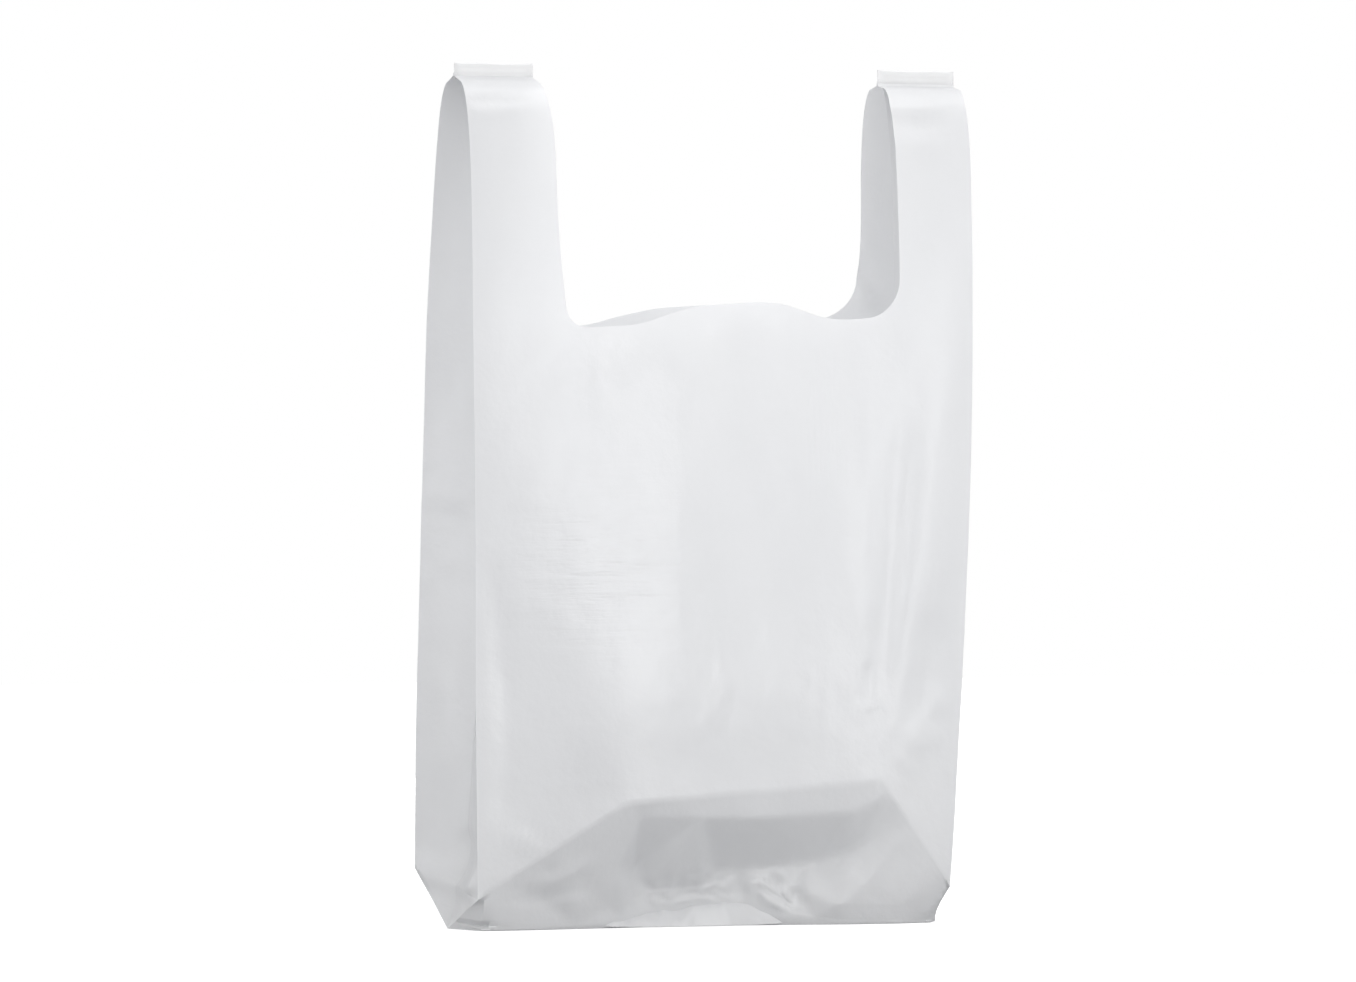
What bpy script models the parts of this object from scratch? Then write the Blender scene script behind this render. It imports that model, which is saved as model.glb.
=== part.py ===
"""Plastic carrier bag with two strap handles, opened out and standing on its folded base.

The whole bag is one piece of film: a flattened tube with a gusset folded into each side,
welded shut along the bottom and across the top of each handle, with a U cut out between
the handles. Here the film is one closed solid with a wall thick enough to handle, and the
fused layers at each handle's top are a solid tab.

Metres, +Z up. The front looks towards -Y, the floor is z = 0 and the origin is the middle
of the base.
"""

import math

import bmesh
import bpy
from mathutils import Vector

# Film and flat pattern
panel_width = 0.302        # front and back panel, from side fold to side fold
gusset_width = 0.0437      # side fold to the gusset's inner crease
strap_width = 0.0465       # width of a handle at its top
bag_height = 0.470         # floor to the top of the handles, opened out
mouth_height = 0.329       # floor to the corners of the mouth, on average
mouth_tilt = 0.006         # right corner of the mouth above its left corner
tab_height = 0.0065        # welded tab across the top of each handle
tab_thickness = 0.0028     # four fused layers of the film's wall
film = 0.0007              # wall of the solid that stands for the film
shoulder = 0.005           # below each tab, where the four layers still lie on each other

# How far the bag is opened
side_depth = 0.087         # front side fold to back side fold, just above the base
opening_power = 0.29       # how quickly the handles open below their tabs
panel_bulge = 0.016        # how far a panel stands proud of its side folds, low down
right_taper = 0.020        # how far the right side draws in towards the base
lean = 0.0024              # how far the upper half stands over to the right
lean_foot = 0.10           # height that the lean starts from
front_rise = 0.010         # mouth edge above its corners, front
back_rise = 0.012          # mouth edge above its corners, back
left_flare = 0.008         # widening of the left handle towards the mouth
right_flare = 0.001
left_corner = 0.010        # radius where a handle's cut edge turns into the mouth edge
right_corner = 0.022
valley_depth = 0.003       # shallow groove down the right of the front panel
valley_width = 0.020
valley_line = 0.63         # where the groove runs, as a share across the panel
valley_foot = 0.08         # height of the groove's lower end

# Folded base
base_half_depth = 0.022    # front half of the lens that lies on the floor
lip_height = 0.011         # upright film between the floor and the underside, in the middle
left_inset = 0.001         # end of the bottom weld, in from half the panel's width
right_inset = 0.0095
end_walls = 3              # the weld's pointed ends are solid for this many walls

# Each half's belly fold, as (share across the panel, height): left corner, the two upper
# corners of the underside, right corner. Shares run from -1 at the left fold to 1.
front_belly = ((-1.0, 0.017), (-0.43, 0.068), (0.64, 0.079), (1.0, 0.020))
back_belly = ((-1.0, 0.032), (-0.45, 0.070), (0.55, 0.074), (1.0, 0.024))
left_ridge = (-0.87, 0.200)     # upper end of the crease that runs down to the left corner
right_ridge = (0.86, 0.320)     # upper end of the ridge that runs down to the right corner
underside_shift = 0.030         # how far the underside's front edge lies left of its fold

# Grid
gusset_columns = 4
outer_columns = 2          # between a handle's inner column and the belly's left corner
belly_columns = 10
base_rows = 6
panel_rows = 12
strap_rows = 11
shoulder_rows = 2

tab_bottom = bag_height - tab_height
half_width = panel_width / 2
full_drop = tab_bottom - front_belly[0][1]
FRONT, BACK = -1, 1
LEFT, RIGHT = -1, 1

strap_columns = gusset_columns + 1
left_fold = gusset_columns
left_cut = left_fold + strap_columns
belly_left = left_cut + outer_columns
right_cut = belly_left + belly_columns
right_fold = right_cut + strap_columns
last_column = right_fold + gusset_columns
floor_row = 1
lip_row = 2
mouth_row = base_rows + panel_rows
seam_row = mouth_row + strap_rows
tab_row = seam_row + shoulder_rows
weld_ends = ((left_fold, 0), (right_fold, 0))


def mix(a, b, share):
    """Return the value or vector a share of the way from a to b."""
    return a + (b - a) * share


def along(points, at):
    """Read a chain of (position, value) pairs at a position, straight between them."""
    for (x0, v0), (x1, v1) in zip(points, points[1:]):
        if at <= x1:
            return mix(v0, v1, (at - x0) / (x1 - x0))
    return points[-1][1]


def half_opening(z):
    """Half the distance between the front and back side folds at a height."""
    drop = max(tab_bottom - z, 0.0) / full_drop
    widest = side_depth / 2
    return max(tab_thickness / 2, widest * min(drop, 1.0) ** opening_power)


def clamp(value):
    """Keep a share between 0 and 1."""
    return min(max(value, 0.0), 1.0)


def fold_x(side, z):
    """X of a side fold at a height: the right side draws in towards the base."""
    x = side * half_width + lean * clamp((z - lean_foot) / (mouth_height - lean_foot))
    if side == RIGHT:
        x -= right_taper * clamp(1 - z / mouth_height) ** 1.6
    return x


def corner_z(side):
    """Height of the mouth's corner at a handle."""
    return mouth_height + side * mouth_tilt / 2


def cut_x(side, z):
    """X of a handle's inner cut edge at a height above the mouth's corners."""
    flare = left_flare if side == LEFT else right_flare
    radius = left_corner if side == LEFT else right_corner
    up = clamp((z - corner_z(side)) / (tab_bottom - corner_z(side)))
    width = strap_width + flare * (1 - up) ** 2
    below = radius - (z - corner_z(side))
    if below > 0:
        width += radius - math.sqrt(max(radius ** 2 - below ** 2, 0.0))
    return fold_x(side, z) - side * width


def free_reach(share, z):
    """How far a panel stands out from the bag's middle plane before its corners are cut."""
    drop = clamp((tab_bottom - z) / full_drop)
    bulge = panel_bulge * drop ** 0.8 * (1 - abs(share) ** 3.5)
    return half_opening(z) + bulge


def facet_plane(p, q, r):
    """Coefficients of reach = a * share + b * z + c through three (share, z, reach) points."""
    u = (q[0] - p[0], q[1] - p[1], q[2] - p[2])
    v = (r[0] - p[0], r[1] - p[1], r[2] - p[2])
    turn = u[0] * v[1] - u[1] * v[0]
    a = (u[2] * v[1] - u[1] * v[2]) / turn
    b = (u[0] * v[2] - u[2] * v[0]) / turn
    return a, b, p[2] - a * p[0] - b * p[1]


def panel_facets(belly):
    """The two planes that cut a panel's lower corners, from its belly fold."""
    planes = []
    for corner, upper, ridge in ((belly[0], belly[1], left_ridge),
                                 (belly[3], belly[2], right_ridge)):
        points = [(s, z, free_reach(s, z)) for s, z in (corner, upper, ridge)]
        planes.append(facet_plane(*points))
    return planes


def panel_point(half, share, z):
    """A point on the front or back panel: share -1 is the left fold and 1 the right."""
    belly = front_belly if half == FRONT else back_belly
    reach = free_reach(share, z)
    for a, b, c in panel_facets(belly):
        reach = min(reach, a * share + b * z + c)
    if half == FRONT:
        side = (share - valley_line) * half_width / valley_width
        fade = math.sin(math.pi * clamp((z - valley_foot) / (mouth_height - valley_foot)))
        reach -= valley_depth * fade * math.exp(-side ** 2)
    reach = max(reach, tab_thickness / 2)
    x = mix(fold_x(LEFT, z), fold_x(RIGHT, z), (share + 1) / 2)
    return Vector((x, half * reach, z))


def share_at(column, row):
    """Where a column crosses a row, as a share across the panel."""
    cuts = []
    for side in (LEFT, RIGHT):
        z = corner_z(side)
        span = fold_x(RIGHT, z) - fold_x(LEFT, z)
        cuts.append(2 * (cut_x(side, z) - fold_x(LEFT, z)) / span - 1)
    low_left, low_right = front_belly[1][0], front_belly[2][0]
    outer = mix(-1.0, low_left, strap_columns / (strap_columns + outer_columns))
    low = along(((left_fold, -1.0), (left_cut, outer), (belly_left, low_left),
                 (right_cut, low_right), (right_fold, 1.0)), column)
    high = along(((left_fold, -1.0), (left_cut, cuts[0]), (right_cut, cuts[1]),
                  (right_fold, 1.0)), column)
    return mix(low, high, clamp((row - base_rows) / panel_rows))


def mouth_z(half, column):
    """Height of the mouth row: level at the handles and risen between them."""
    share = clamp((column - left_cut) / (right_cut - left_cut))
    rise = front_rise if half == FRONT else back_rise
    return mix(corner_z(LEFT), corner_z(RIGHT), share) + rise * 4 * share * (1 - share)


def seal_end(side):
    """An end of the bottom weld, on the floor."""
    inset = left_inset if side == LEFT else right_inset
    return Vector((side * (half_width - inset), 0.0, 0.0))


def corner_share(row):
    """How far a row lies from the end of the bottom weld up to the belly's lower corner."""
    return max(row - floor_row, 0) / (base_rows - floor_row)


def belly_point(half, column):
    """A panel's point on its belly fold."""
    belly = front_belly if half == FRONT else back_belly
    share = share_at(column, base_rows)
    return panel_point(half, share, along(belly, share))


def lip_point(half, column):
    """The edge where the underside turns down to the floor."""
    shift = underside_shift if half == FRONT else 0.0
    share = share_at(column, base_rows)
    left = mix(seal_end(LEFT), belly_point(half, left_fold), corner_share(lip_row))
    right = mix(seal_end(RIGHT), belly_point(half, right_fold), corner_share(lip_row))
    reach = base_half_depth + 0.003
    inner_left = Vector((front_belly[1][0] * half_width + shift * 0.5, half * reach, lip_height))
    inner_right = Vector((front_belly[2][0] * half_width - shift, half * reach, lip_height))
    return along(((-1.0, left), (front_belly[1][0], inner_left),
                  (front_belly[2][0], inner_right), (1.0, right)), share)


def floor_point(half, column):
    """The border of the film that lies flat on the floor."""
    lip = lip_point(half, column)
    seal = mix(seal_end(LEFT), seal_end(RIGHT), (share_at(column, base_rows) + 1) / 2)
    across = abs(2 * (lip.x - seal_end(LEFT).x) / (seal_end(RIGHT).x - seal_end(LEFT).x) - 1)
    reach = base_half_depth * (1 - min(across, 1.0) ** 2.5)
    return Vector((mix(seal.x, lip.x, 0.9), half * reach, 0.0))


def base_point(half, column, row):
    """A point of the folded base, from the weld on the floor up to the belly fold."""
    belly = belly_point(half, column)
    if column in (left_fold, right_fold):
        side = LEFT if column == left_fold else RIGHT
        return mix(seal_end(side), belly, corner_share(row))
    if row == 0:
        share = (share_at(column, base_rows) + 1) / 2
        return mix(seal_end(LEFT), seal_end(RIGHT), share)
    if row == floor_row:
        return floor_point(half, column)
    return mix(lip_point(half, column), belly, (row - lip_row) / (base_rows - lip_row))


def strap_z(side, row):
    """Height of a row of a handle: closer together at the mouth and under the tab."""
    if row > tab_row:
        return bag_height
    if row >= seam_row:
        return tab_bottom - shoulder * ((tab_row - row) / shoulder_rows) ** 2
    turn = math.pi / (strap_rows + 1)
    share = (1 - math.cos(turn * (row - mouth_row))) / (1 - math.cos(turn * strap_rows))
    return mix(corner_z(side), tab_bottom - shoulder, share)


def strap_share(column):
    """Where a handle's column lies between its side fold and its cut edge."""
    step = column - left_fold if column <= left_cut else right_fold - column
    if step == strap_columns:
        return 1.0
    return step / gusset_columns * gusset_width / strap_width


def strap_point(half, column, row):
    """A point on a handle, from the mouth row up to the top of its tab."""
    side = LEFT if column <= left_cut else RIGHT
    z = strap_z(side, row)
    level = min(z, tab_bottom)
    x = mix(fold_x(side, level), cut_x(side, level), strap_share(column))
    spread = fold_x(RIGHT, level) - fold_x(LEFT, level)
    share = 2 * (x - fold_x(LEFT, level)) / spread - 1
    point = panel_point(half, share, level)
    return Vector((x, point.y, z))


def gusset_point(half, column, row):
    """A point on a gusset: straight from the side fold in to the crease."""
    side = LEFT if column < left_fold else RIGHT
    fold_column = left_fold if side == LEFT else right_fold
    inward = abs(column - fold_column) / gusset_columns
    lift = max(row, base_rows)
    folds = [body_point(h, fold_column, lift) for h in (FRONT, BACK)]
    fold = folds[0] if half == FRONT else folds[1]
    reach = (folds[1].y - folds[0].y) / 2
    tuck = math.sqrt(max(gusset_width ** 2 - reach ** 2, 0.0))
    middle = (folds[0] + folds[1]) / 2
    crease = Vector((middle.x - side * tuck, 0.0, middle.z))
    point = mix(fold, crease, inward)
    if row < base_rows:
        return mix(seal_end(side), point, corner_share(row))
    if row == tab_row:
        return Vector((point.x, 0.0, point.z))
    return point


def body_point(half, column, row):
    """The outer surface's point at a grid position."""
    if column < left_fold or column > right_fold:
        return gusset_point(half, column, row)
    if row <= base_rows:
        return base_point(half, column, row)
    if row < mouth_row:
        share = share_at(column, row)
        low = belly_point(half, column).z
        z = mix(low, mouth_z(half, column), (row - base_rows) / panel_rows)
        return panel_point(half, share, z)
    if left_cut < column < right_cut:
        return panel_point(half, share_at(column, mouth_row), mouth_z(half, column))
    return strap_point(half, column, row)


def outer_key(half, column, row):
    """Name of an outer grid point; points that both halves share have one name."""
    if row <= floor_row and not left_fold < column < right_fold:
        row = 0
        column = left_fold if column <= left_fold else right_fold
    gusset = column < left_fold or column > right_fold
    shared = row == 0 or column in (0, last_column) or (gusset and row == tab_row)
    return ("outer", 0 if shared else half, column, row)


def inner_key(half, column, row):
    """Name of an inner grid point; under a tab the film's layers close on each other."""
    if row < seam_row:
        return ("inner",) + outer_key(half, column, row)[1:]
    if column < left_fold:
        column = 2 * left_fold - column
    if column > right_fold:
        column = 2 * right_fold - column
    step = min(abs(column - left_fold), abs(column - right_fold))
    return ("inner", 0 if step >= gusset_columns else half, column, row)


def cells(top_row):
    """Every grid cell of one half below a row of the handles, as its lower left corner."""
    for column in range(last_column):
        middle = left_cut <= column < right_cut
        for row in range(mouth_row if middle else top_row):
            yield column, row


def seam_point(half, column):
    """Inner point under a shoulder, midway between the layers that close there."""
    side = LEFT if column <= left_cut else RIGHT
    fold_column = left_fold if side == LEFT else right_fold
    step = abs(column - fold_column)
    above = body_point(half, column, seam_row)
    below = body_point(half, column, seam_row - 1)
    point = mix(above, below, 0.3)
    if step == strap_columns:
        return Vector((point.x, 0.0, point.z))
    if step == gusset_columns:
        spare = (strap_width - gusset_width) * 0.4
        return Vector((point.x - side * spare, 0.0, point.z))
    inward = step / gusset_columns
    if step == 0:
        inward = 0.7 / gusset_columns
        point.x -= side * inward * gusset_width
    return Vector((point.x, point.y * (1 - inward / 2), point.z))


def wall_offset(normals):
    """The move that takes a point one wall thickness in from every face around it."""
    total = sum(normals, Vector())
    offset = total.normalized() * -film
    for turn in range(60):
        worst = max(normals, key=lambda normal: offset.dot(normal))
        short = film + offset.dot(worst)
        if short < film * 0.01:
            break
        offset -= worst * short
    return offset


def build_film():
    """Model the film as one closed mesh and return its mesh data."""
    mesh = bmesh.new()
    points = {}
    around = {}

    def place(key, position):
        if key not in points:
            points[key] = mesh.verts.new(position)
        return points[key]

    def face(*corners):
        loop = []
        for corner in corners:
            if corner not in loop:
                loop.append(corner)
        if len(loop) > 2:
            mesh.faces.new([points[key] for key in loop])

    corners = ((0, 0), (1, 0), (1, 1), (0, 1))
    for half in (FRONT, BACK):
        for column, row in cells(tab_row):
            keys = [outer_key(half, column + i, row + j) for i, j in corners]
            spots = [body_point(half, column + i, row + j) for i, j in corners]
            for key, spot in zip(keys, spots):
                place(key, spot)
            first = (points[keys[2]].co - points[keys[0]].co)
            second = (points[keys[3]].co - points[keys[1]].co)
            normal = first.cross(second).normalized() * -half
            if normal.length > 0:
                for key in set(keys):
                    around.setdefault(key, []).append(normal)
            face(*keys)
    for half in (FRONT, BACK):
        for column, row in cells(seam_row):
            keys = []
            for i, j in corners:
                key = inner_key(half, column + i, row + j)
                keys.append(key)
                if key in points:
                    continue
                if row + j == seam_row:
                    place(key, seam_point(key[1] or FRONT, key[2]))
                else:
                    outer = outer_key(half, column + i, row + j)
                    walls = end_walls if outer[2:] in weld_ends else 1
                    place(key, points[outer].co + wall_offset(around[outer]) * walls)
            face(*keys)

    def rim(half, a, b):
        face(outer_key(half, *a), outer_key(half, *b), inner_key(half, *b), inner_key(half, *a))

    for half in (FRONT, BACK):
        for column in range(left_cut, right_cut):
            rim(half, (column, mouth_row), (column + 1, mouth_row))
        for row in range(mouth_row, seam_row):
            for column in (left_cut, right_cut):
                rim(half, (column, row), (column, row + 1))

    def web(column, row):
        face(("outer", FRONT, column, row), ("outer", FRONT, column, row + 1),
             ("outer", BACK, column, row + 1), ("outer", BACK, column, row))

    for fold_column, cut_column in ((left_fold, left_cut), (right_fold, right_cut)):
        for column in range(min(fold_column, cut_column), max(fold_column, cut_column) + 1):
            for half in (FRONT, BACK):
                place(("outer", half, column, tab_row + 1),
                      strap_point(half, column, tab_row + 1))
        for column in range(min(fold_column, cut_column), max(fold_column, cut_column)):
            for half in (FRONT, BACK):
                face(*[("outer", half, column + i, tab_row + j) for i, j in corners])
            top = tab_row + 1
            face(("outer", FRONT, column, top), ("outer", FRONT, column + 1, top),
                 ("outer", BACK, column + 1, top), ("outer", BACK, column, top))
        web(fold_column, tab_row)
        for row in range(seam_row, tab_row + 1):
            web(cut_column, row)
        side = -1 if fold_column == left_fold else 1
        face(("outer", FRONT, fold_column, tab_row), ("outer", BACK, fold_column, tab_row),
             ("outer", 0, fold_column + side, tab_row))
        face(("outer", FRONT, cut_column, seam_row), ("outer", BACK, cut_column, seam_row),
             ("inner", 0, cut_column, seam_row))

    bmesh.ops.triangulate(mesh, faces=mesh.faces)
    bmesh.ops.recalc_face_normals(mesh, faces=mesh.faces)
    data = bpy.data.meshes.new("bag_film")
    mesh.to_mesh(data)
    mesh.free()
    return data


def film_material():
    """White translucent film: pale, slightly cool and half glossy."""
    material = bpy.data.materials.new("white_film")
    material.use_nodes = True
    shader = material.node_tree.nodes["Principled BSDF"]
    shader.inputs["Base Color"].default_value = (0.84, 0.845, 0.86, 1.0)
    shader.inputs["Roughness"].default_value = 0.38
    shader.inputs["Metallic"].default_value = 0.0
    return material


for leftover in list(bpy.data.objects):
    bpy.data.objects.remove(leftover, do_unlink=True)

bag = bpy.data.objects.new("bag_film", build_film())
bpy.context.scene.collection.objects.link(bag)
bag.data.materials.append(film_material())
bag.data.shade_smooth()
bag.data.set_sharp_from_angle(angle=math.radians(20))
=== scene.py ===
"""Thin white plastic carrier bag, opened out and standing on its folded base.

The bag is one lofted film: a tube with a gusset folded into each side, welded along the
bottom and across the top of each handle. The film is shaped from its flat pattern, then
creased and crumpled the way thin film is after it has been unfolded and shaken open.

Metres, +Z up. The front looks towards -Y and the floor is z = 0.
"""

import logging
import math
from dataclasses import dataclass, field
from enum import Enum
from typing import Any, Dict, List, Sequence, Tuple, Union

import bpy
import numpy as np
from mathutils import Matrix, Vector, geometry, noise


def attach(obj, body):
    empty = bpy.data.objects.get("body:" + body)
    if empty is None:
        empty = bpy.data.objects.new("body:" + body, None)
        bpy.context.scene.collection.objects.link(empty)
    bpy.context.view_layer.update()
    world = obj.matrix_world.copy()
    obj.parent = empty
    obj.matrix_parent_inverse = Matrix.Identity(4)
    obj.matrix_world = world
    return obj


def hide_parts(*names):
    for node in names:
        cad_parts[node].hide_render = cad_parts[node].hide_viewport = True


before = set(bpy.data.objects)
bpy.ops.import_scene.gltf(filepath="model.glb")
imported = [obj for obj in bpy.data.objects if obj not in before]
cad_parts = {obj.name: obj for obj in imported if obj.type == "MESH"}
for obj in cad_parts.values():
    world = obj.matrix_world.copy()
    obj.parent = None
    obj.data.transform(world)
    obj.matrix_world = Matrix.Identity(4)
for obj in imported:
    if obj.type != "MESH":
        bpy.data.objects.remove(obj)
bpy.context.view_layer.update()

logging.basicConfig(level=logging.INFO, format="%(name)s: %(message)s")
log = logging.getLogger("carrier_bag")

Array = np.ndarray
Value = Union[float, Array]
Colour = Tuple[float, float, float]
Curve = Tuple[Tuple[float, float], ...]
Stations = Tuple[Tuple[float, float, float], ...]
Faces = List[Tuple[int, ...]]

PAINTED_SHADE_ATTRIBUTE = "painted_shade"  # attribute of the film: painted shade, how far its colour is darkened
MM_PER_M = 1000  # millimetres in a metre
FAR_OFF = 9.0  # metres, farther than any point of the bag
TOUCH = 1e-6  # metres within which two spots of a facet map are one
NEGLIGIBLE = 1e-9  # size under which a facet or a direction counts as none
FAINT = 1e-12  # the same for the cross product of two grid steps
PINCH_RISE = 4.0  # how quickly a pinched fold rises towards its line
PINCH_TIP = 0.6  # how blunt its tip is
PATCH_EDGE = 1.3  # where a crumpled patch has faded out, in half sizes
FINE_GRAIN = 2.1  # small folds of a crumpled patch to each large one
FINE_SHARE = 0.4  # their height against the large ones
FINE_SEED = Vector((7, 3, 1))
STRAP_TURN = 0.93  # share of a half turn over which a handle's rows ease upward
UNREST = ((0.00035, 0.034), (0.00009, 0.011))  # height and grain of the film's waves, metres
UNREST_FLAT = 0.55  # width of one of these waves against its height
FOLD_STEPS = 2  # columns over which relief fades out towards a side fold
EDGE_STEPS = 3  # rows over which it fades out towards the edge of its zone
PLEAT_FOOT = 8  # rows at the foot of a gusset without relief
PLEAT_STEPS = 6  # rows over which the gusset's relief sets in above them
GROUND_FADE = 0.004  # height over which relief fades out towards the floor
TOP_FADE = 0.012  # height over which it fades out towards the tabs
NOISE_SWING = 2.0  # a noise node swings about half a unit
WHITE = (1.0, 1.0, 1.0, 1.0)
# painted shade: the fused tabs get a greyer colour than the plain film, although fused film is whiter,
# so that they render at the film's tone
FUSED_SHADED_WHITE = (0.83, 0.832, 0.838)
FUSED_THROUGH = 0.3  # light that four fused layers let through


class Half(Enum):
    """Front or back layer of the bag, as its sign in Y."""

    FRONT = -1
    BACK = 1


class Side(Enum):
    """Left or right side of the bag, as its sign in X."""

    LEFT = -1
    RIGHT = 1


class Zone(Enum):
    """Part of the film that a crease or a crumpled patch lies in."""

    FRONT_PANEL = "front panel"
    FRONT_BASE = "underside, front half"
    BACK_PANEL = "back panel"
    BACK_BASE = "underside, back half"
    LEFT_GUSSET = "left gusset"
    RIGHT_GUSSET = "right gusset"


class Profile(Enum):
    """Cross section of a crease."""

    SOFT = "rounded roll"
    PINCH = "sharp pinched fold"
    TENT = "flat slopes down from the path on both sides"


def mix(a: Value, b: Value, share: Value) -> Value:
    """Blend two values, from a at share 0 to b at share 1."""
    return a + (b - a) * share


def ramp(value: Value, width: float = 1.0) -> Value:
    """Rise evenly from 0 to 1 over a width, and stay level outside it."""
    return np.clip(value / width, 0, 1)


def eased(share: Array) -> Array:
    """Round both ends of a ramp."""
    return share * share * (3 - 2 * share)


def soft_min(a: Array, b: Array, width: float) -> Array:
    """Take the lower of two surfaces and round the edge between them over a width."""
    share = ramp(0.5 + 0.5 * (b - a) / width)
    return mix(b, a, share) - width * share * (1 - share)


def ridge(spot: Vector) -> float:
    """Read folded noise: a sharp ridge where plain noise passes through nought."""
    return 0.5 - abs(noise.noise(spot)) * 2


@dataclass(frozen=True)
class BagSizes:
    """Sizes of the bag's flat pattern and of the way it stands open.

    Lengths are in metres and crisp is an angle in degrees. Powers shape a curve, and shares,
    turns and follows are parts of a whole. The mouth's edges are (share of the mouth, rise), and
    the belly folds and ridges are (place across the panel, height), with -1 at the left side fold
    and 1 at the right.
    """

    panel_width: float = 0.302
    gusset_width: float = 0.0437
    strap_width: float = 0.0465
    bag_height: float = 0.470
    mouth_height: float = 0.329
    mouth_tilt: float = 0.006
    tab_height: float = 0.0090
    tab_overlap: float = 0.003
    layer_spread: float = 0.0005
    side_depth: float = 0.087
    opening_power: float = 0.27
    panel_bulge: float = 0.016
    bulge_power: float = 0.8
    bulge_flatness: float = 3.5
    right_taper: float = 0.020
    taper_power: float = 1.6
    lean: float = 0.0024
    lean_foot: float = 0.10
    top_lean: float = 0.0022
    top_lean_height: float = 0.10
    left_shoulder: float = 0.003
    back_pull: float = 0.014
    pull_centre: Tuple[float, float] = (0.105, 0.365)
    pull_reach: Tuple[float, float] = (0.032, 0.055)
    front_edge: Curve = (
        (0.0, 0.0), (0.10, 0.0), (0.19, 0.0005), (0.29, 0.0055), (0.37, 0.0090), (0.52, 0.0104),
        (0.69, 0.0102), (0.77, 0.0058), (0.84, 0.0012), (0.92, -0.0008), (1.0, 0.0))
    back_edge: Curve = (
        (0.0, 0.0), (0.20, 0.0010), (0.32, 0.0055), (0.45, 0.0095), (0.63, 0.0100),
        (0.82, 0.0110), (0.93, 0.0090), (1.0, 0.0))
    edge_rounding: float = 0.035
    left_flare: float = 0.008
    right_flare: float = 0.001
    left_corner: float = 0.010
    right_corner: float = 0.022
    valley_depth: float = 0.003
    valley_width: float = 0.020
    valley_line: float = 0.63
    valley_foot: float = 0.08
    left_inset: float = 0.001
    right_inset: float = 0.0095
    lip_share: float = 0.2
    knee_share: float = 0.52
    knee_turn: float = 0.4
    knee_follow: float = 0.4
    floor_reach: float = 0.9
    facet_rounding: float = 0.0025
    facet_smoothing: float = 0.35
    film: float = 0.00028
    least_film: float = 0.00002
    film_taper: float = 0.02
    layer_share: float = 0.3
    crisp: float = 42.0
    front_belly: Curve = ((-1.0, 0.017), (-0.43, 0.068), (0.64, 0.079), (1.0, 0.020))
    back_belly: Curve = ((-1.0, 0.032), (-0.45, 0.070), (0.55, 0.074), (1.0, 0.024))
    left_ridge: Tuple[float, float] = (-0.87, 0.200)
    right_ridge: Tuple[float, float] = (0.86, 0.320)

    @property
    def tab_bottom(self) -> float:
        """Lower edge of the welded tabs."""
        return self.bag_height - self.tab_height

    @property
    def half_width(self) -> float:
        """Half of the panel's width."""
        return self.panel_width / 2


@dataclass(frozen=True)
class FoldCorner:
    """A corner where folds of the underside meet, in millimetres."""

    x: float
    depth: float
    z: float


class FacetMap:
    """Flat facets between fold corners, read as depth over the place in x and z."""

    def __init__(self, corners: Array, folds: Sequence[Tuple[int, int]]) -> None:
        """Join the corners to facets.

        Args:
            corners: (x, depth, z) rows in metres.
            folds: pairs of corner numbers that a fold line joins.
        """
        flat = [Vector((x, z)) for x, _, z in corners]
        made = geometry.delaunay_2d_cdt(flat, list(folds), [], 0, TOUCH)
        depth = [corners[first[0], 1] if first else 0.0 for first in made[3]]
        self.spots = np.array([tuple(spot) for spot in made[0]])
        self.depth = np.array(depth)
        self.facets = made[2]

    def read(self, x: Array, z: Array, otherwise: Array) -> Array:
        """Read the depth at places.

        Args:
            x: places across.
            z: heights.
            otherwise: depth where no facet lies.

        Returns:
            Depths.
        """
        out = otherwise.copy()
        for facet in self.facets:
            a, b, c = (self.spots[i] for i in facet)
            area = (b[0] - a[0]) * (c[1] - a[1]) - (c[0] - a[0]) * (b[1] - a[1])
            if abs(area) < NEGLIGIBLE:
                continue
            beta = ((x - a[0]) * (c[1] - a[1]) - (c[0] - a[0]) * (z - a[1])) / area
            gamma = ((b[0] - a[0]) * (z - a[1]) - (x - a[0]) * (b[1] - a[1])) / area
            inside = (beta >= -TOUCH) & (gamma >= -TOUCH) & (beta + gamma <= 1 + TOUCH)
            at = [self.depth[i] for i in facet]
            value = at[0] + beta * (at[1] - at[0]) + gamma * (at[2] - at[0])
            out = np.where(inside, value, out)
        return out


@dataclass(frozen=True)
class BaseFold:
    """One half of the folded base.

    The lip and the knee are stations across the bag, (x, depth, height), and the floor line is
    (x, depth), all in metres. A fold joins two corners by their numbers.
    """

    lip: Stations
    knee: Stations
    floor: Curve
    corners: Tuple[FoldCorner, ...]
    folds: Tuple[Tuple[int, int], ...]


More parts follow.
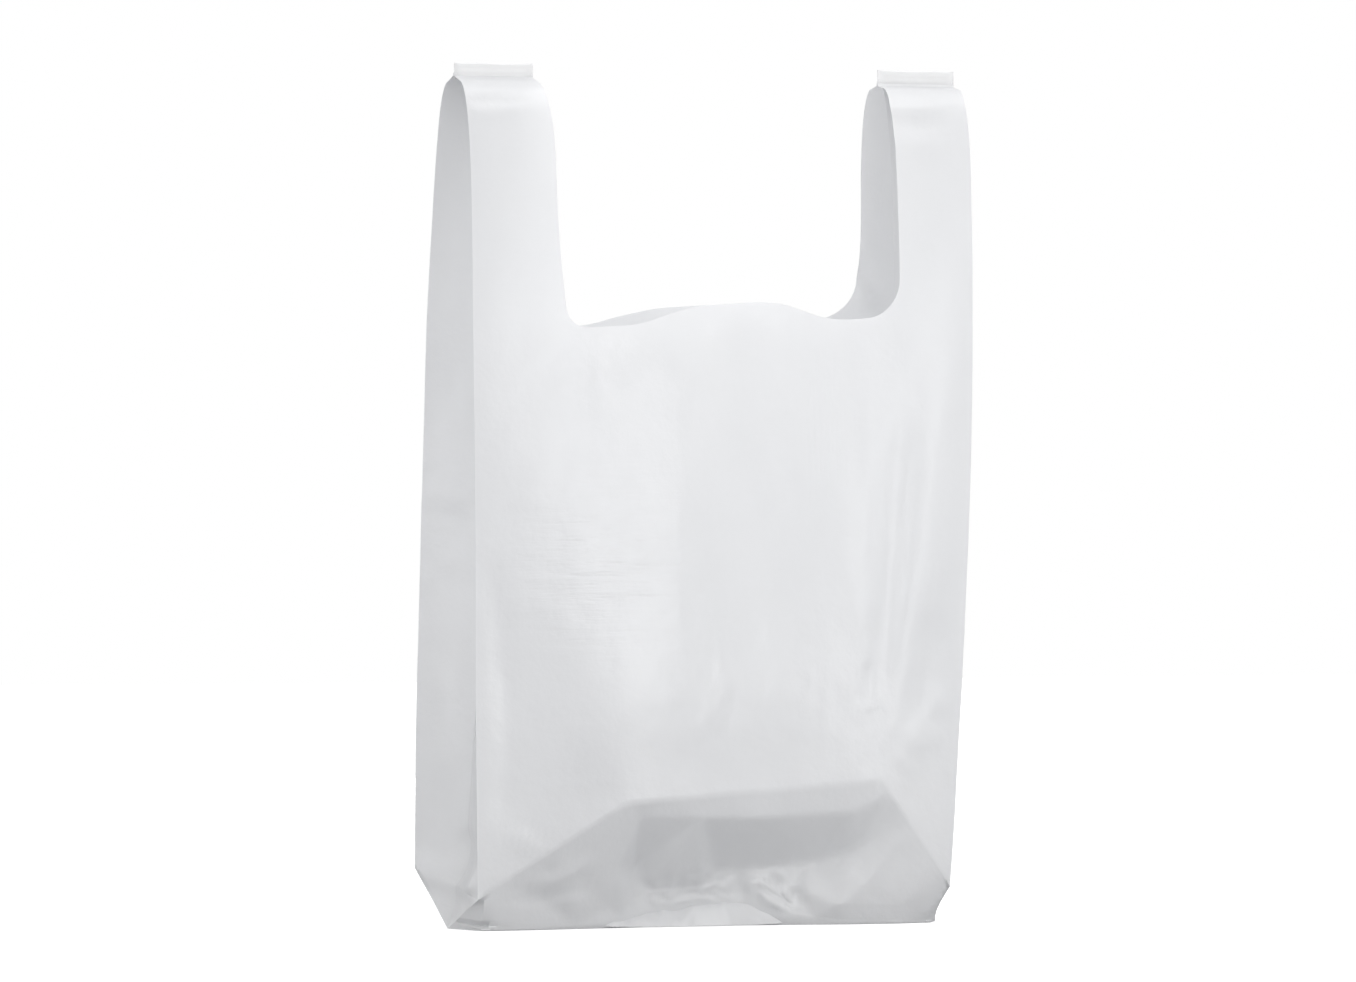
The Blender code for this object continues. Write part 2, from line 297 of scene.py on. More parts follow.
@dataclass(frozen=True)
class Grid:
    """How finely the film is divided, and at which of its points its facets end."""

    gusset: int = 12
    strap_edge: int = 4
    outer: int = 6
    belly: int = 76
    floor: int = 5
    lip: int = 4
    underside: int = 42
    panel: int = 98
    strap: int = 38
    lip_step: int = 2
    belly_step: int = 4
    side_start: int = 6
    side_step: int = 7

    @property
    def left_fold(self) -> int:
        """Column of the left side fold."""
        return self.gusset

    @property
    def left_cut(self) -> int:
        """Column of the left handle's cut edge."""
        return self.left_fold + self.gusset + self.strap_edge

    @property
    def belly_left(self) -> int:
        """Column of the belly fold's left corner."""
        return self.left_cut + self.outer

    @property
    def right_cut(self) -> int:
        """Column of the right handle's cut edge."""
        return self.belly_left + self.belly

    @property
    def right_fold(self) -> int:
        """Column of the right side fold."""
        return self.right_cut + self.gusset + self.strap_edge

    @property
    def last(self) -> int:
        """Last column: the right gusset's crease."""
        return self.right_fold + self.gusset

    @property
    def lip_row(self) -> int:
        """Row of the underside's lower edge."""
        return self.floor + self.lip

    @property
    def base_row(self) -> int:
        """Row of the belly fold."""
        return self.lip_row + self.underside

    @property
    def mouth_row(self) -> int:
        """Row of the mouth's edge."""
        return self.base_row + self.panel

    @property
    def top_row(self) -> int:
        """Row where the handles end inside their tabs."""
        return self.mouth_row + self.strap


@dataclass(frozen=True)
class ViewPlane:
    """The picture plane that creases are laid out in, and how it maps to the bag.

    A point of the bag lies at U across and Z up; the path of a crease is named by its
    place in the picture, which is easy to measure.
    """

    azimuth: float = math.radians(-25.0)
    centre_px: float = 698.0
    floor_px: float = 924.0
    px_per_m: float = 1825.0

    def across(self, points: Array) -> Array:
        """Return how far points (x, y, z) lie across the picture, in metres."""
        return points[..., 0] * math.cos(self.azimuth) + points[..., 1] * math.sin(self.azimuth)

    def place(self, path: Curve) -> Array:
        """Turn (across, down) pairs in picture units into (across, up) rows in metres."""
        spots = np.array(path, float)
        return np.column_stack(((spots[:, 0] - self.centre_px) / self.px_per_m,
                                (self.floor_px - spots[:, 1]) / self.px_per_m))


@dataclass(frozen=True)
class Crease:
    """One fold line in the film.

    Height and width are in millimetres; a negative height is a groove. The far width is
    the width on the left of the path where a tent is lopsided.
    """

    path: Curve
    height: float
    width: float
    profile: Profile = Profile.SOFT
    zone: Zone = Zone.FRONT_PANEL
    fades: Tuple[float, float] = (0.25, 0.25)
    far_width: float = 0.0

    def lift(self, across: Array, up: Array, plane: ViewPlane) -> Array:
        """Work out how far the crease moves the film out.

        Args:
            across: place of each point across the picture plane.
            up: height of each point.
            plane: the picture plane.

        Returns:
            The move outward of each point, in metres.
        """
        line = plane.place(self.path)
        steps = np.linalg.norm(np.diff(line, axis=0), axis=1)
        starts = np.concatenate(([0.0], np.cumsum(steps)))
        nearest = np.full(across.shape, FAR_OFF)
        signed = np.zeros(across.shape)
        travel = np.zeros(across.shape)
        for i, step in enumerate(steps):
            du, dv = (line[i + 1] - line[i]) / step
            ru, rv = across - line[i, 0], up - line[i, 1]
            run = np.clip(ru * du + rv * dv, 0.0, step)
            distance = np.hypot(ru - run * du, rv - run * dv)
            side = np.where(du * rv - dv * ru >= 0, 1.0, -1.0)
            closer = distance < nearest
            nearest = np.where(closer, distance, nearest)
            signed = np.where(closer, side * distance, signed)
            travel = np.where(closer, starts[i] + run, travel)
        share = travel / starts[-1]
        ends = eased(ramp(share, self.fades[0]) * ramp(1 - share, self.fades[1]))
        reach = nearest / (self.width / MM_PER_M)
        if self.profile is Profile.SOFT:
            section = np.exp(-reach ** 2)
        elif self.profile is Profile.PINCH:
            tip = 1 - np.exp(-PINCH_RISE * reach - PINCH_TIP)
            section = np.minimum(np.exp(-reach) * tip / (1 - math.exp(-PINCH_TIP)), 1.0)
        else:
            far = self.far_width or self.width
            slope = np.where(signed <= 0, self.width, far) / MM_PER_M
            section = ramp(1 - nearest / slope)
        return section * ends * self.height / MM_PER_M


@dataclass(frozen=True)
class Crumple:
    """A patch of film with small irregular folds.

    The centre and the half sizes are in picture units; grain and height in millimetres.
    """

    centre: Tuple[float, float]
    half_size: Tuple[float, float]
    grain: float
    height: float
    zone: Zone = Zone.FRONT_PANEL
    stretch: Tuple[float, float] = (1.0, 1.0)
    seed: float = 0.0

    def lift(self, across: Array, up: Array, plane: ViewPlane) -> Array:
        """Work out how far the patch moves the film out.

        Args:
            across: place of each point across the picture plane.
            up: height of each point.
            plane: the picture plane.

        Returns:
            The move outward of each point, in metres.
        """
        middle = plane.place((self.centre,))[0]
        wide = (across - middle[0]) * plane.px_per_m / self.half_size[0]
        tall = (up - middle[1]) * plane.px_per_m / self.half_size[1]
        cover = eased(ramp(PATCH_EDGE - np.hypot(wide, tall)))
        out = np.zeros(across.shape)
        size = self.grain / MM_PER_M
        for index in zip(*np.nonzero(cover > 0)):
            spot = Vector((across[index] / size / self.stretch[0],
                           up[index] / size / self.stretch[1], self.seed))
            out[index] = ridge(spot) + FINE_SHARE * ridge(spot * FINE_GRAIN + FINE_SEED)
        return out * cover * self.height / MM_PER_M


@dataclass(frozen=True)
class PaintedShadeArea:
    """Painted shade: an area where the film's colour is darkened to a greyer tone to stand in for
    shade on a dim facet.

    The outline is in picture units and runs round the area; the edge is in millimetres.
    """

    outline: Curve
    amount: float
    edge: float
    zone: Zone = Zone.FRONT_PANEL

    def share(self, across: Array, up: Array, plane: ViewPlane) -> Array:
        """Work out how much painted shade each point gets.

        Args:
            across: place of each point across the picture plane.
            up: height of each point.
            plane: the picture plane.

        Returns:
            0 for plain film up to the area's amount of painted shade.
        """
        line = plane.place(self.outline)
        inside = np.zeros(across.shape, bool)
        nearest = np.full(across.shape, FAR_OFF)
        for (au, av), (bu, bv) in zip(line, np.roll(line, -1, axis=0)):
            du, dv = bu - au, bv - av
            run = ramp((across - au) * du + (up - av) * dv, du * du + dv * dv)
            nearest = np.minimum(nearest, np.hypot(across - au - run * du, up - av - run * dv))
            if av != bv:
                inside ^= ((av > up) != (bv > up)) & (across < au + (up - av) * du / dv)
        depth = np.where(inside, nearest, -nearest) / (self.edge / MM_PER_M)
        return self.amount * ramp(0.5 + depth / 2)


class FilmForm:
    """Shape of the opened bag, worked out from its flat pattern."""

    def __init__(self, sizes: BagSizes, grid: Grid, folds: Dict[Half, BaseFold]) -> None:
        """Keep the sizes and work out the facets that cut the lower corners.

        Args:
            sizes: sizes of the bag.
            grid: how finely the film is divided.
            folds: the folded base, for each half.
        """
        self.sizes = sizes
        self.grid = grid
        self.folds = folds
        self.belly = {Half.FRONT: np.array(sizes.front_belly),
                      Half.BACK: np.array(sizes.back_belly)}
        self.full_drop = sizes.tab_bottom - sizes.front_belly[0][1]
        self.facets = {half: self.corner_facets(half) for half in Half}

    def drop(self, z: Array) -> Array:
        """How far heights lie below the tabs, as a share of the way to the belly fold."""
        return ramp(self.sizes.tab_bottom - z, self.full_drop)

    def half_opening(self, z: Array) -> Array:
        """Half the distance between the front and back side folds."""
        opening = self.sizes.side_depth / 2 * self.drop(z) ** self.sizes.opening_power
        return np.maximum(self.sizes.layer_spread, opening)

    def free_reach(self, share: Array, z: Array) -> Array:
        """How far a panel stands out from the middle plane before its corners are cut.

        Args:
            share: place across the panel, -1 at the left fold and 1 at the right.
            z: heights.

        Returns:
            Distances from the middle plane.
        """
        s = self.sizes
        flat = 1 - np.abs(share) ** s.bulge_flatness
        return self.half_opening(z) + s.panel_bulge * self.drop(z) ** s.bulge_power * flat

    def corner_facets(self, half: Half) -> List[Tuple[float, float, float]]:
        """Find the two planes that cut a panel's lower corners.

        Args:
            half: front or back.

        Returns:
            Coefficients (a, b, c) of reach = a * share + b * z + c.
        """
        belly = self.belly[half]
        planes = []
        for corner, upper, ridge in ((belly[0], belly[1], self.sizes.left_ridge),
                                     (belly[3], belly[2], self.sizes.right_ridge)):
            spots = np.array([corner, upper, ridge], float)
            reach = self.free_reach(spots[:, 0], spots[:, 1])
            planes.append(tuple(np.linalg.solve(np.column_stack((spots, np.ones(3))), reach)))
        return planes

    def fold_x(self, side: Side, z: Array) -> Array:
        """X of a side fold.

        Args:
            side: left or right.
            z: heights.

        Returns:
            X positions.
        """
        s = self.sizes
        lean = ramp(z - s.lean_foot, s.mouth_height - s.lean_foot)
        top = ramp(z - s.mouth_height, s.top_lean_height)
        x = side.value * s.half_width + s.lean * lean + s.top_lean * top
        if side is Side.RIGHT:
            x = x - s.right_taper * ramp(1 - z / s.mouth_height) ** s.taper_power
        return x

    def corner_z(self, side: Side) -> float:
        """Height of the mouth's corner at a handle."""
        return self.sizes.mouth_height + side.value * self.sizes.mouth_tilt / 2

    def cut_x(self, side: Side, z: Array) -> Array:
        """X of a handle's inner cut edge.

        Args:
            side: left or right.
            z: heights above the mouth's corner.

        Returns:
            X positions.
        """
        s = self.sizes
        flare, radius = ((s.left_flare, s.left_corner) if side is Side.LEFT
                         else (s.right_flare, s.right_corner))
        corner = self.corner_z(side)
        up = ramp(z - corner, s.tab_bottom - corner)
        below = np.clip(radius - (z - corner), 0, radius)
        width = s.strap_width + flare * (1 - up) ** 2 + radius - np.sqrt(radius ** 2 - below ** 2)
        if side is Side.LEFT:
            width = width + s.left_shoulder * np.sin(np.pi * up ** 3)
        return self.fold_x(side, z) - side.value * width

    def panel(self, half: Half, share: Array, z: Array) -> Array:
        """Points on the front or back panel.

        Args:
            half: front or back.
            share: place across the panel, -1 to 1.
            z: heights.

        Returns:
            Positions.
        """
        s = self.sizes
        reach = self.free_reach(share, z)
        for a, b, c in self.facets[half]:
            reach = soft_min(reach, a * share + b * z + c, s.facet_rounding)
        if half is Half.FRONT:
            aside = (share - s.valley_line) * s.half_width / s.valley_width
            lift = ramp(z - s.valley_foot, s.mouth_height - s.valley_foot)
            reach = reach - s.valley_depth * np.sin(np.pi * lift) * np.exp(-aside ** 2)
        reach = np.maximum(reach, s.layer_spread)
        x = mix(self.fold_x(Side.LEFT, z), self.fold_x(Side.RIGHT, z), (share + 1) / 2)
        return np.stack((x, half.value * reach, z + 0 * x), axis=-1)

    def strap_step(self) -> Tuple[List[int], List[float]]:
        """Where a handle's columns lie between its side fold and its cut edge.

        Returns:
            Column counts from the fold, and the share of the width at each.
        """
        g = self.grid
        inner = self.sizes.gusset_width / self.sizes.strap_width
        return [0, g.gusset, g.gusset + g.strap_edge], [0.0, inner, 1.0]

    def shares(self, column: Array, row: Array) -> Array:
        """Where a column crosses a row, as a share across the panel.

        Args:
            column: grid columns.
            row: grid rows.

        Returns:
            Shares, -1 to 1.
        """
        g = self.grid
        steps, parts = self.strap_step()
        cuts = []
        for side in Side:
            z = self.corner_z(side)
            left, right = self.fold_x(Side.LEFT, z), self.fold_x(Side.RIGHT, z)
            cuts.append(2 * (self.cut_x(side, z) - left) / (right - left) - 1)
        low_left, low_right = self.belly[Half.FRONT][1:3, 0]
        strap = g.left_cut - g.left_fold
        outer = mix(-1.0, low_left, strap / (strap + g.outer))
        low = np.interp(column, (g.left_fold, g.left_cut, g.belly_left, g.right_cut, g.right_fold),
                        (-1.0, outer, low_left, low_right, 1.0))
        left = [(g.left_fold + n, mix(-1.0, cuts[0], p)) for n, p in zip(steps, parts)]
        right = [(g.right_fold - n, mix(1.0, cuts[1], p)) for n, p in zip(steps, parts)]
        stations = np.array(left + right[::-1])
        high = np.interp(column, stations[:, 0], stations[:, 1])
        return mix(low, high, ramp(row - g.base_row, g.panel))

    def mouth_z(self, half: Half, column: Array) -> Array:
        """Height of the mouth's edge.

        Args:
            half: front or back.
            column: grid columns.

        Returns:
            Heights.
        """
        g, s = self.grid, self.sizes
        share = ramp(column - g.left_cut, g.right_cut - g.left_cut)
        edge = np.array(s.front_edge if half is Half.FRONT else s.back_edge)
        ease = np.interp(share, edge[:, 0], edge[:, 1])
        for nudge in (-s.edge_rounding, s.edge_rounding):
            ease = ease + np.interp(ramp(share + nudge), edge[:, 0], edge[:, 1])
        level = mix(self.corner_z(Side.LEFT), self.corner_z(Side.RIGHT), share)
        return level + ease / 3

    def seal_end(self, side: Side) -> Array:
        """End of the bottom weld, on the floor."""
        inset = self.sizes.left_inset if side is Side.LEFT else self.sizes.right_inset
        return np.array((side.value * (self.sizes.half_width - inset), 0.0, 0.0))

    def belly_line(self, half: Half) -> Array:
        """The belly fold, one point for each column.

        Args:
            half: front or back.

        Returns:
            Positions.
        """
        column = np.arange(self.grid.last + 1)
        share = self.shares(column, self.grid.base_row)
        z = np.interp(share, self.belly[half][:, 0], self.belly[half][:, 1])
        return self.panel(half, share, z)

    def along(self, belly: Array) -> Array:
        """How far each column lies from the left side fold to the right, 0 to 1."""
        left, right = belly[self.grid.left_fold, 0], belly[self.grid.right_fold, 0]
        return ramp(belly[:, 0] - left, right - left)

    def fold_line(self, half: Half, stations: Stations, part: float, follow: float) -> Array:
        """A fold of the base, one point for each column.

        Args:
            half: front or back.
            stations: what the fold runs through.
            part: where it ends, from the weld's end to the belly's corner.
            follow: how far its points follow those of the belly fold across.

        Returns:
            Positions.
        """
        g, belly, table = self.grid, self.belly_line(half), np.array(stations)
        left = mix(self.seal_end(Side.LEFT), belly[g.left_fold], part)
        right = mix(self.seal_end(Side.RIGHT), belly[g.right_fold], part)
        at = np.concatenate(([left[0]], table[:, 0], [right[0]]))
        y = np.concatenate(([left[1]], half.value * table[:, 1], [right[1]]))
        z = np.concatenate(([left[2]], table[:, 2], [right[2]]))
        x = mix(mix(left[0], right[0], self.along(belly)), belly[:, 0], follow)
        return np.column_stack((x, np.interp(x, at, y), np.interp(x, at, z)))

    def base(self, half: Half) -> Array:
        """The folded base, from the weld on the floor up to the belly fold.

        Args:
            half: front or back.

        Returns:
            Positions, rows by columns.
        """
        g, s, fold = self.grid, self.sizes, self.folds[half]
        belly = self.belly_line(half)
        ends = [self.seal_end(side) for side in Side]
        seal = mix(ends[0], ends[1], self.along(belly)[:, None])
        lip = self.fold_line(half, fold.lip, s.lip_share, 0.0)
        knee = self.fold_line(half, fold.knee, s.knee_share, s.knee_follow)
        table = np.array(fold.floor)
        x = mix(seal[:, 0], lip[:, 0], s.floor_reach)
        border = np.column_stack((x, half.value * np.interp(x, table[:, 0], table[:, 1]), 0 * x))
        rows = []
        for row in range(g.base_row):
            turn = (row - g.lip_row) / g.underside
            if row <= g.floor:
                line = mix(seal, border, row / g.floor)
            elif row <= g.lip_row:
                climb = (row - g.floor) / g.lip
                line = mix(border, lip, climb)
                line[:, 1] = mix(border[:, 1], lip[:, 1], math.sin(climb * math.pi / 2))
            elif turn < s.knee_turn:
                line = mix(lip, knee, turn / s.knee_turn)
            else:
                line = mix(knee, belly, (turn - s.knee_turn) / (1 - s.knee_turn))
            for column, end in zip((g.left_fold, g.right_fold), ends):
                line[column] = mix(end, belly[column], self.corner_share(row))
            rows.append(line)
        points = np.array(rows)
        across = slice(g.left_fold + 1, g.right_fold)
        under = points[g.lip_row + 1:, across]
        depth = self.facet_map(half, points, belly).read(
            under[..., 0], under[..., 2], half.value * under[..., 1])
        full = np.pad(depth, 1, mode="edge")
        full[0, 1:-1] = half.value * points[g.lip_row, across, 1]
        full[-1, 1:-1] = half.value * belly[across, 1]
        full[1:-1, 0] = half.value * points[g.lip_row + 1:, g.left_fold, 1]
        full[1:-1, -1] = half.value * points[g.lip_row + 1:, g.right_fold, 1]
        around = full[:-2, 1:-1] + full[2:, 1:-1] + full[1:-1, :-2] + full[1:-1, 2:]
        smooth = mix(depth, around / 4, s.facet_smoothing)
        points[g.lip_row + 1:, across, 1] = half.value * smooth
        return points

    def facet_map(self, half: Half, base: Array, belly: Array) -> FacetMap:
        """Lay out the underside's facets between its border and its fold corners.

        Args:
            half: front or back.
            base: positions of the base, rows by columns.
            belly: positions of the belly fold.

        Returns:
            The facets.
        """
        g, fold = self.grid, self.folds[half]
        corners = [(c.x / MM_PER_M, c.depth / MM_PER_M, c.z / MM_PER_M) for c in fold.corners]
        border = [base[g.lip_row, c] for c in range(g.left_fold, g.right_fold + 1, g.lip_step)]
        border += [belly[c] for c in range(g.left_fold, g.right_fold + 1, g.belly_step)]
        border += [base[g.lip_row, g.right_fold], belly[g.right_fold]]
        side_rows = range(g.lip_row + g.side_start, g.base_row, g.side_step)
        for column in (g.left_fold, g.right_fold):
            border += [base[row, column] for row in side_rows]
        corners += [(spot[0], half.value * spot[1], spot[2]) for spot in border]
        return FacetMap(np.array(corners), fold.folds)

    def corner_share(self, row: int) -> float:
        """How far a row lies from the weld's end up to the belly's lower corner, 0 to 1."""
        g, s = self.grid, self.sizes
        rows = (g.floor, g.lip_row, g.lip_row + s.knee_turn * g.underside, g.base_row)
        return float(np.interp(row, rows, (0.0, s.lip_share, s.knee_share, 1.0)))

    def half_film(self, half: Half) -> Array:
        """Panel, base and handles of one half, without its gussets.

        Args:
            half: front or back.

        Returns:
            Positions, rows by columns.
        """
        g, s = self.grid, self.sizes
        column, row = np.meshgrid(np.arange(g.last + 1), np.arange(g.top_row + 1))
        share = self.shares(column, row)
        low = self.belly_line(half)[:, 2][None, :]
        rise = ramp(row - g.base_row, g.panel)
        points = self.panel(half, share, mix(low, self.mouth_z(half, column), rise))
        steps, parts = self.strap_step()
        turn = math.pi * STRAP_TURN / g.strap
        climb = (1 - np.cos(turn * np.arange(g.strap + 1))) / (1 - math.cos(turn * g.strap))
        for side in Side:
            fold = g.left_fold if side is Side.LEFT else g.right_fold
            z = mix(self.corner_z(side), s.tab_bottom + s.tab_overlap, climb)[:, None]
            level = np.minimum(z, s.tab_bottom)
            width = g.left_cut - g.left_fold
            columns = np.arange(fold, fold - side.value * (width + 1), -side.value)
            part = np.interp(np.abs(columns - fold), steps, parts)[None, :]
            left, right = self.fold_x(Side.LEFT, level), self.fold_x(Side.RIGHT, level)
            x = mix(self.fold_x(side, level), self.cut_x(side, level), part)
            spot = self.panel(half, 2 * (x - left) / (right - left) - 1, level + 0 * x)
            spot[..., 2] = z
            points[g.mouth_row:, columns] = spot
        points[:g.base_row] = self.base(half)
        if half is Half.BACK:
            near = (np.exp(-((points[..., 0] - s.pull_centre[0]) / s.pull_reach[0]) ** 2)
                    * np.exp(-((points[..., 2] - s.pull_centre[1]) / s.pull_reach[1]) ** 2))
            points[..., 1] -= s.back_pull * near
        return points

    def build(self) -> Dict[Half, Array]:
        """Shape both halves, with their gussets.

        Returns:
            Positions for each half, rows by columns.
        """
        g = self.grid
        halves = {half: self.half_film(half) for half in Half}
        folds = {}
        for side in Side:
            column = g.left_fold if side is Side.LEFT else g.right_fold
            folds[side] = {half: halves[half][:, column].copy() for half in Half}
        for half in Half:
            for side in Side:
                front, back = folds[side][Half.FRONT], folds[side][Half.BACK]
                near = folds[side][half]
                reach = (back[:, 1] - front[:, 1]) / 2
                tuck = np.sqrt(np.clip(self.sizes.gusset_width ** 2 - reach ** 2, 0, None))
                middle = (front + back) / 2
                crease = np.column_stack((middle[:, 0] - side.value * tuck, 0 * tuck, middle[:, 2]))
                for row in range(g.base_row):
                    crease[row] = mix(self.seal_end(side), crease[g.base_row],
                                      self.corner_share(row))
                for step in range(1, g.gusset + 1):
                    column = (g.left_fold - step if side is Side.LEFT else g.right_fold + step)
                    halves[half][:, column] = mix(near, crease, step / g.gusset)
        return halves


class FilmRelief:
    """Creases, rolls and crumples that are pressed into the film."""

    def __init__(self, grid: Grid, plane: ViewPlane, creases: Sequence[Crease],
                 crumples: Sequence[Crumple]) -> None:
        """Keep the lists.

        Args:
            grid: how the film is divided.
            plane: the picture plane that the creases are laid out in.
            creases: fold lines.
            crumples: crumpled patches.
        """
        self.grid = grid
        self.plane = plane
        self.creases = creases
        self.crumples = crumples

    def cover(self, half: Half, zone: Zone) -> Array:
        """Mark the grid points of one half that belong to a zone.

        Args:
            half: front or back.
            zone: the zone.

        Returns:
            1 inside, 0 outside, with a soft edge at the folds.
        """
        g = self.grid
        column, row = np.meshgrid(np.arange(g.last + 1), np.arange(g.top_row + 1))
        off_fold = ramp(np.minimum(column - g.left_fold, g.right_fold - column), FOLD_STEPS)
        off_end = ramp(g.top_row - EDGE_STEPS - row, EDGE_STEPS)
        panel = off_fold * off_end * ramp(row - g.base_row + 2, EDGE_STEPS)
        under = off_fold * ramp(g.base_row + 1 - row, EDGE_STEPS)
        under = under * ramp(row - g.lip_row, EDGE_STEPS)
        inner = np.minimum(column, g.last - column)
        pleat = ramp(g.gusset - inner, FOLD_STEPS) * off_end
        pleat = pleat * ramp(row - g.lip_row - PLEAT_FOOT, PLEAT_STEPS)
        zones = {
            (Half.FRONT, Zone.FRONT_PANEL): panel,
            (Half.FRONT, Zone.FRONT_BASE): under,
            (Half.BACK, Zone.BACK_PANEL): panel,
            (Half.BACK, Zone.BACK_BASE): under,
            (half, Zone.LEFT_GUSSET): pleat * (column <= g.left_fold),
            (half, Zone.RIGHT_GUSSET): pleat * (column >= g.right_fold),
        }
        return zones.get((half, zone), np.zeros(column.shape))

    def apply(self, halves: Dict[Half, Array]) -> None:
        """Press the relief into both halves.

        Args:
            halves: positions for each half, changed in place.
        """
        for half, points in halves.items():
            out = np.zeros(points.shape[:2])
            across, up = self.plane.across(points), points[..., 2]
            for item in (*self.creases, *self.crumples):
                cover = self.cover(half, item.zone)
                if cover.any():
                    out += cover * item.lift(across, up, self.plane)
            for height, grain in UNREST:
                out += fine_unrest(points, half, height, grain)
            z = points[..., 2:3]
            fade = ramp(z, GROUND_FADE) * ramp(z.max() - z, TOP_FADE)
            points += grid_normals(points, half) * out[..., None] * fade
        log.info("pressed %d creases and %d crumpled patches into the film",
                 len(self.creases), len(self.crumples))

    def stretch(self, halves: Dict[Half, Array], areas: Sequence[PaintedShadeArea]) -> Dict[Half, Array]:
        """Find where the film's colour is darkened as painted shade.

        Args:
            halves: positions for each half.
            areas: the areas of painted shade.

        Returns:
            How much painted shade the film gets, rows by columns for each half.
        """
        out = {}
        for half, points in halves.items():
            across, up = self.plane.across(points), points[..., 2]
            out[half] = np.zeros(points.shape[:2])
            for area in areas:
                out[half] += self.cover(half, area.zone) * area.share(across, up, self.plane)
        return out


def grid_normals(points: Array, half: Half) -> Array:
    """Outward directions of a half's grid points.

    Args:
        points: positions, rows by columns.
        half: front or back.

    Returns:
        Unit vectors, rows by columns.
    """
    across = np.gradient(points, axis=1)
    up = np.gradient(points, axis=0)
    normal = np.cross(across, up) * -half.value
    length = np.linalg.norm(normal, axis=-1, keepdims=True)
    return normal / np.maximum(length, FAINT)


def fine_unrest(points: Array, half: Half, height: float, grain: float) -> Array:
    """Slight waviness of film that is nowhere quite flat.

    Args:
        points: positions, rows by columns.
        half: front or back.
        height: how far the film wanders, in metres.
        grain: size of the waves, in metres.

    Returns:
        The move outward of each point.
    """
    out = np.zeros(points.shape[:2])
    for index in np.ndindex(out.shape):
        spot = Vector(points[index]) / grain
        spot.z *= UNREST_FLAT
        out[index] = noise.noise(spot)
    return out * height


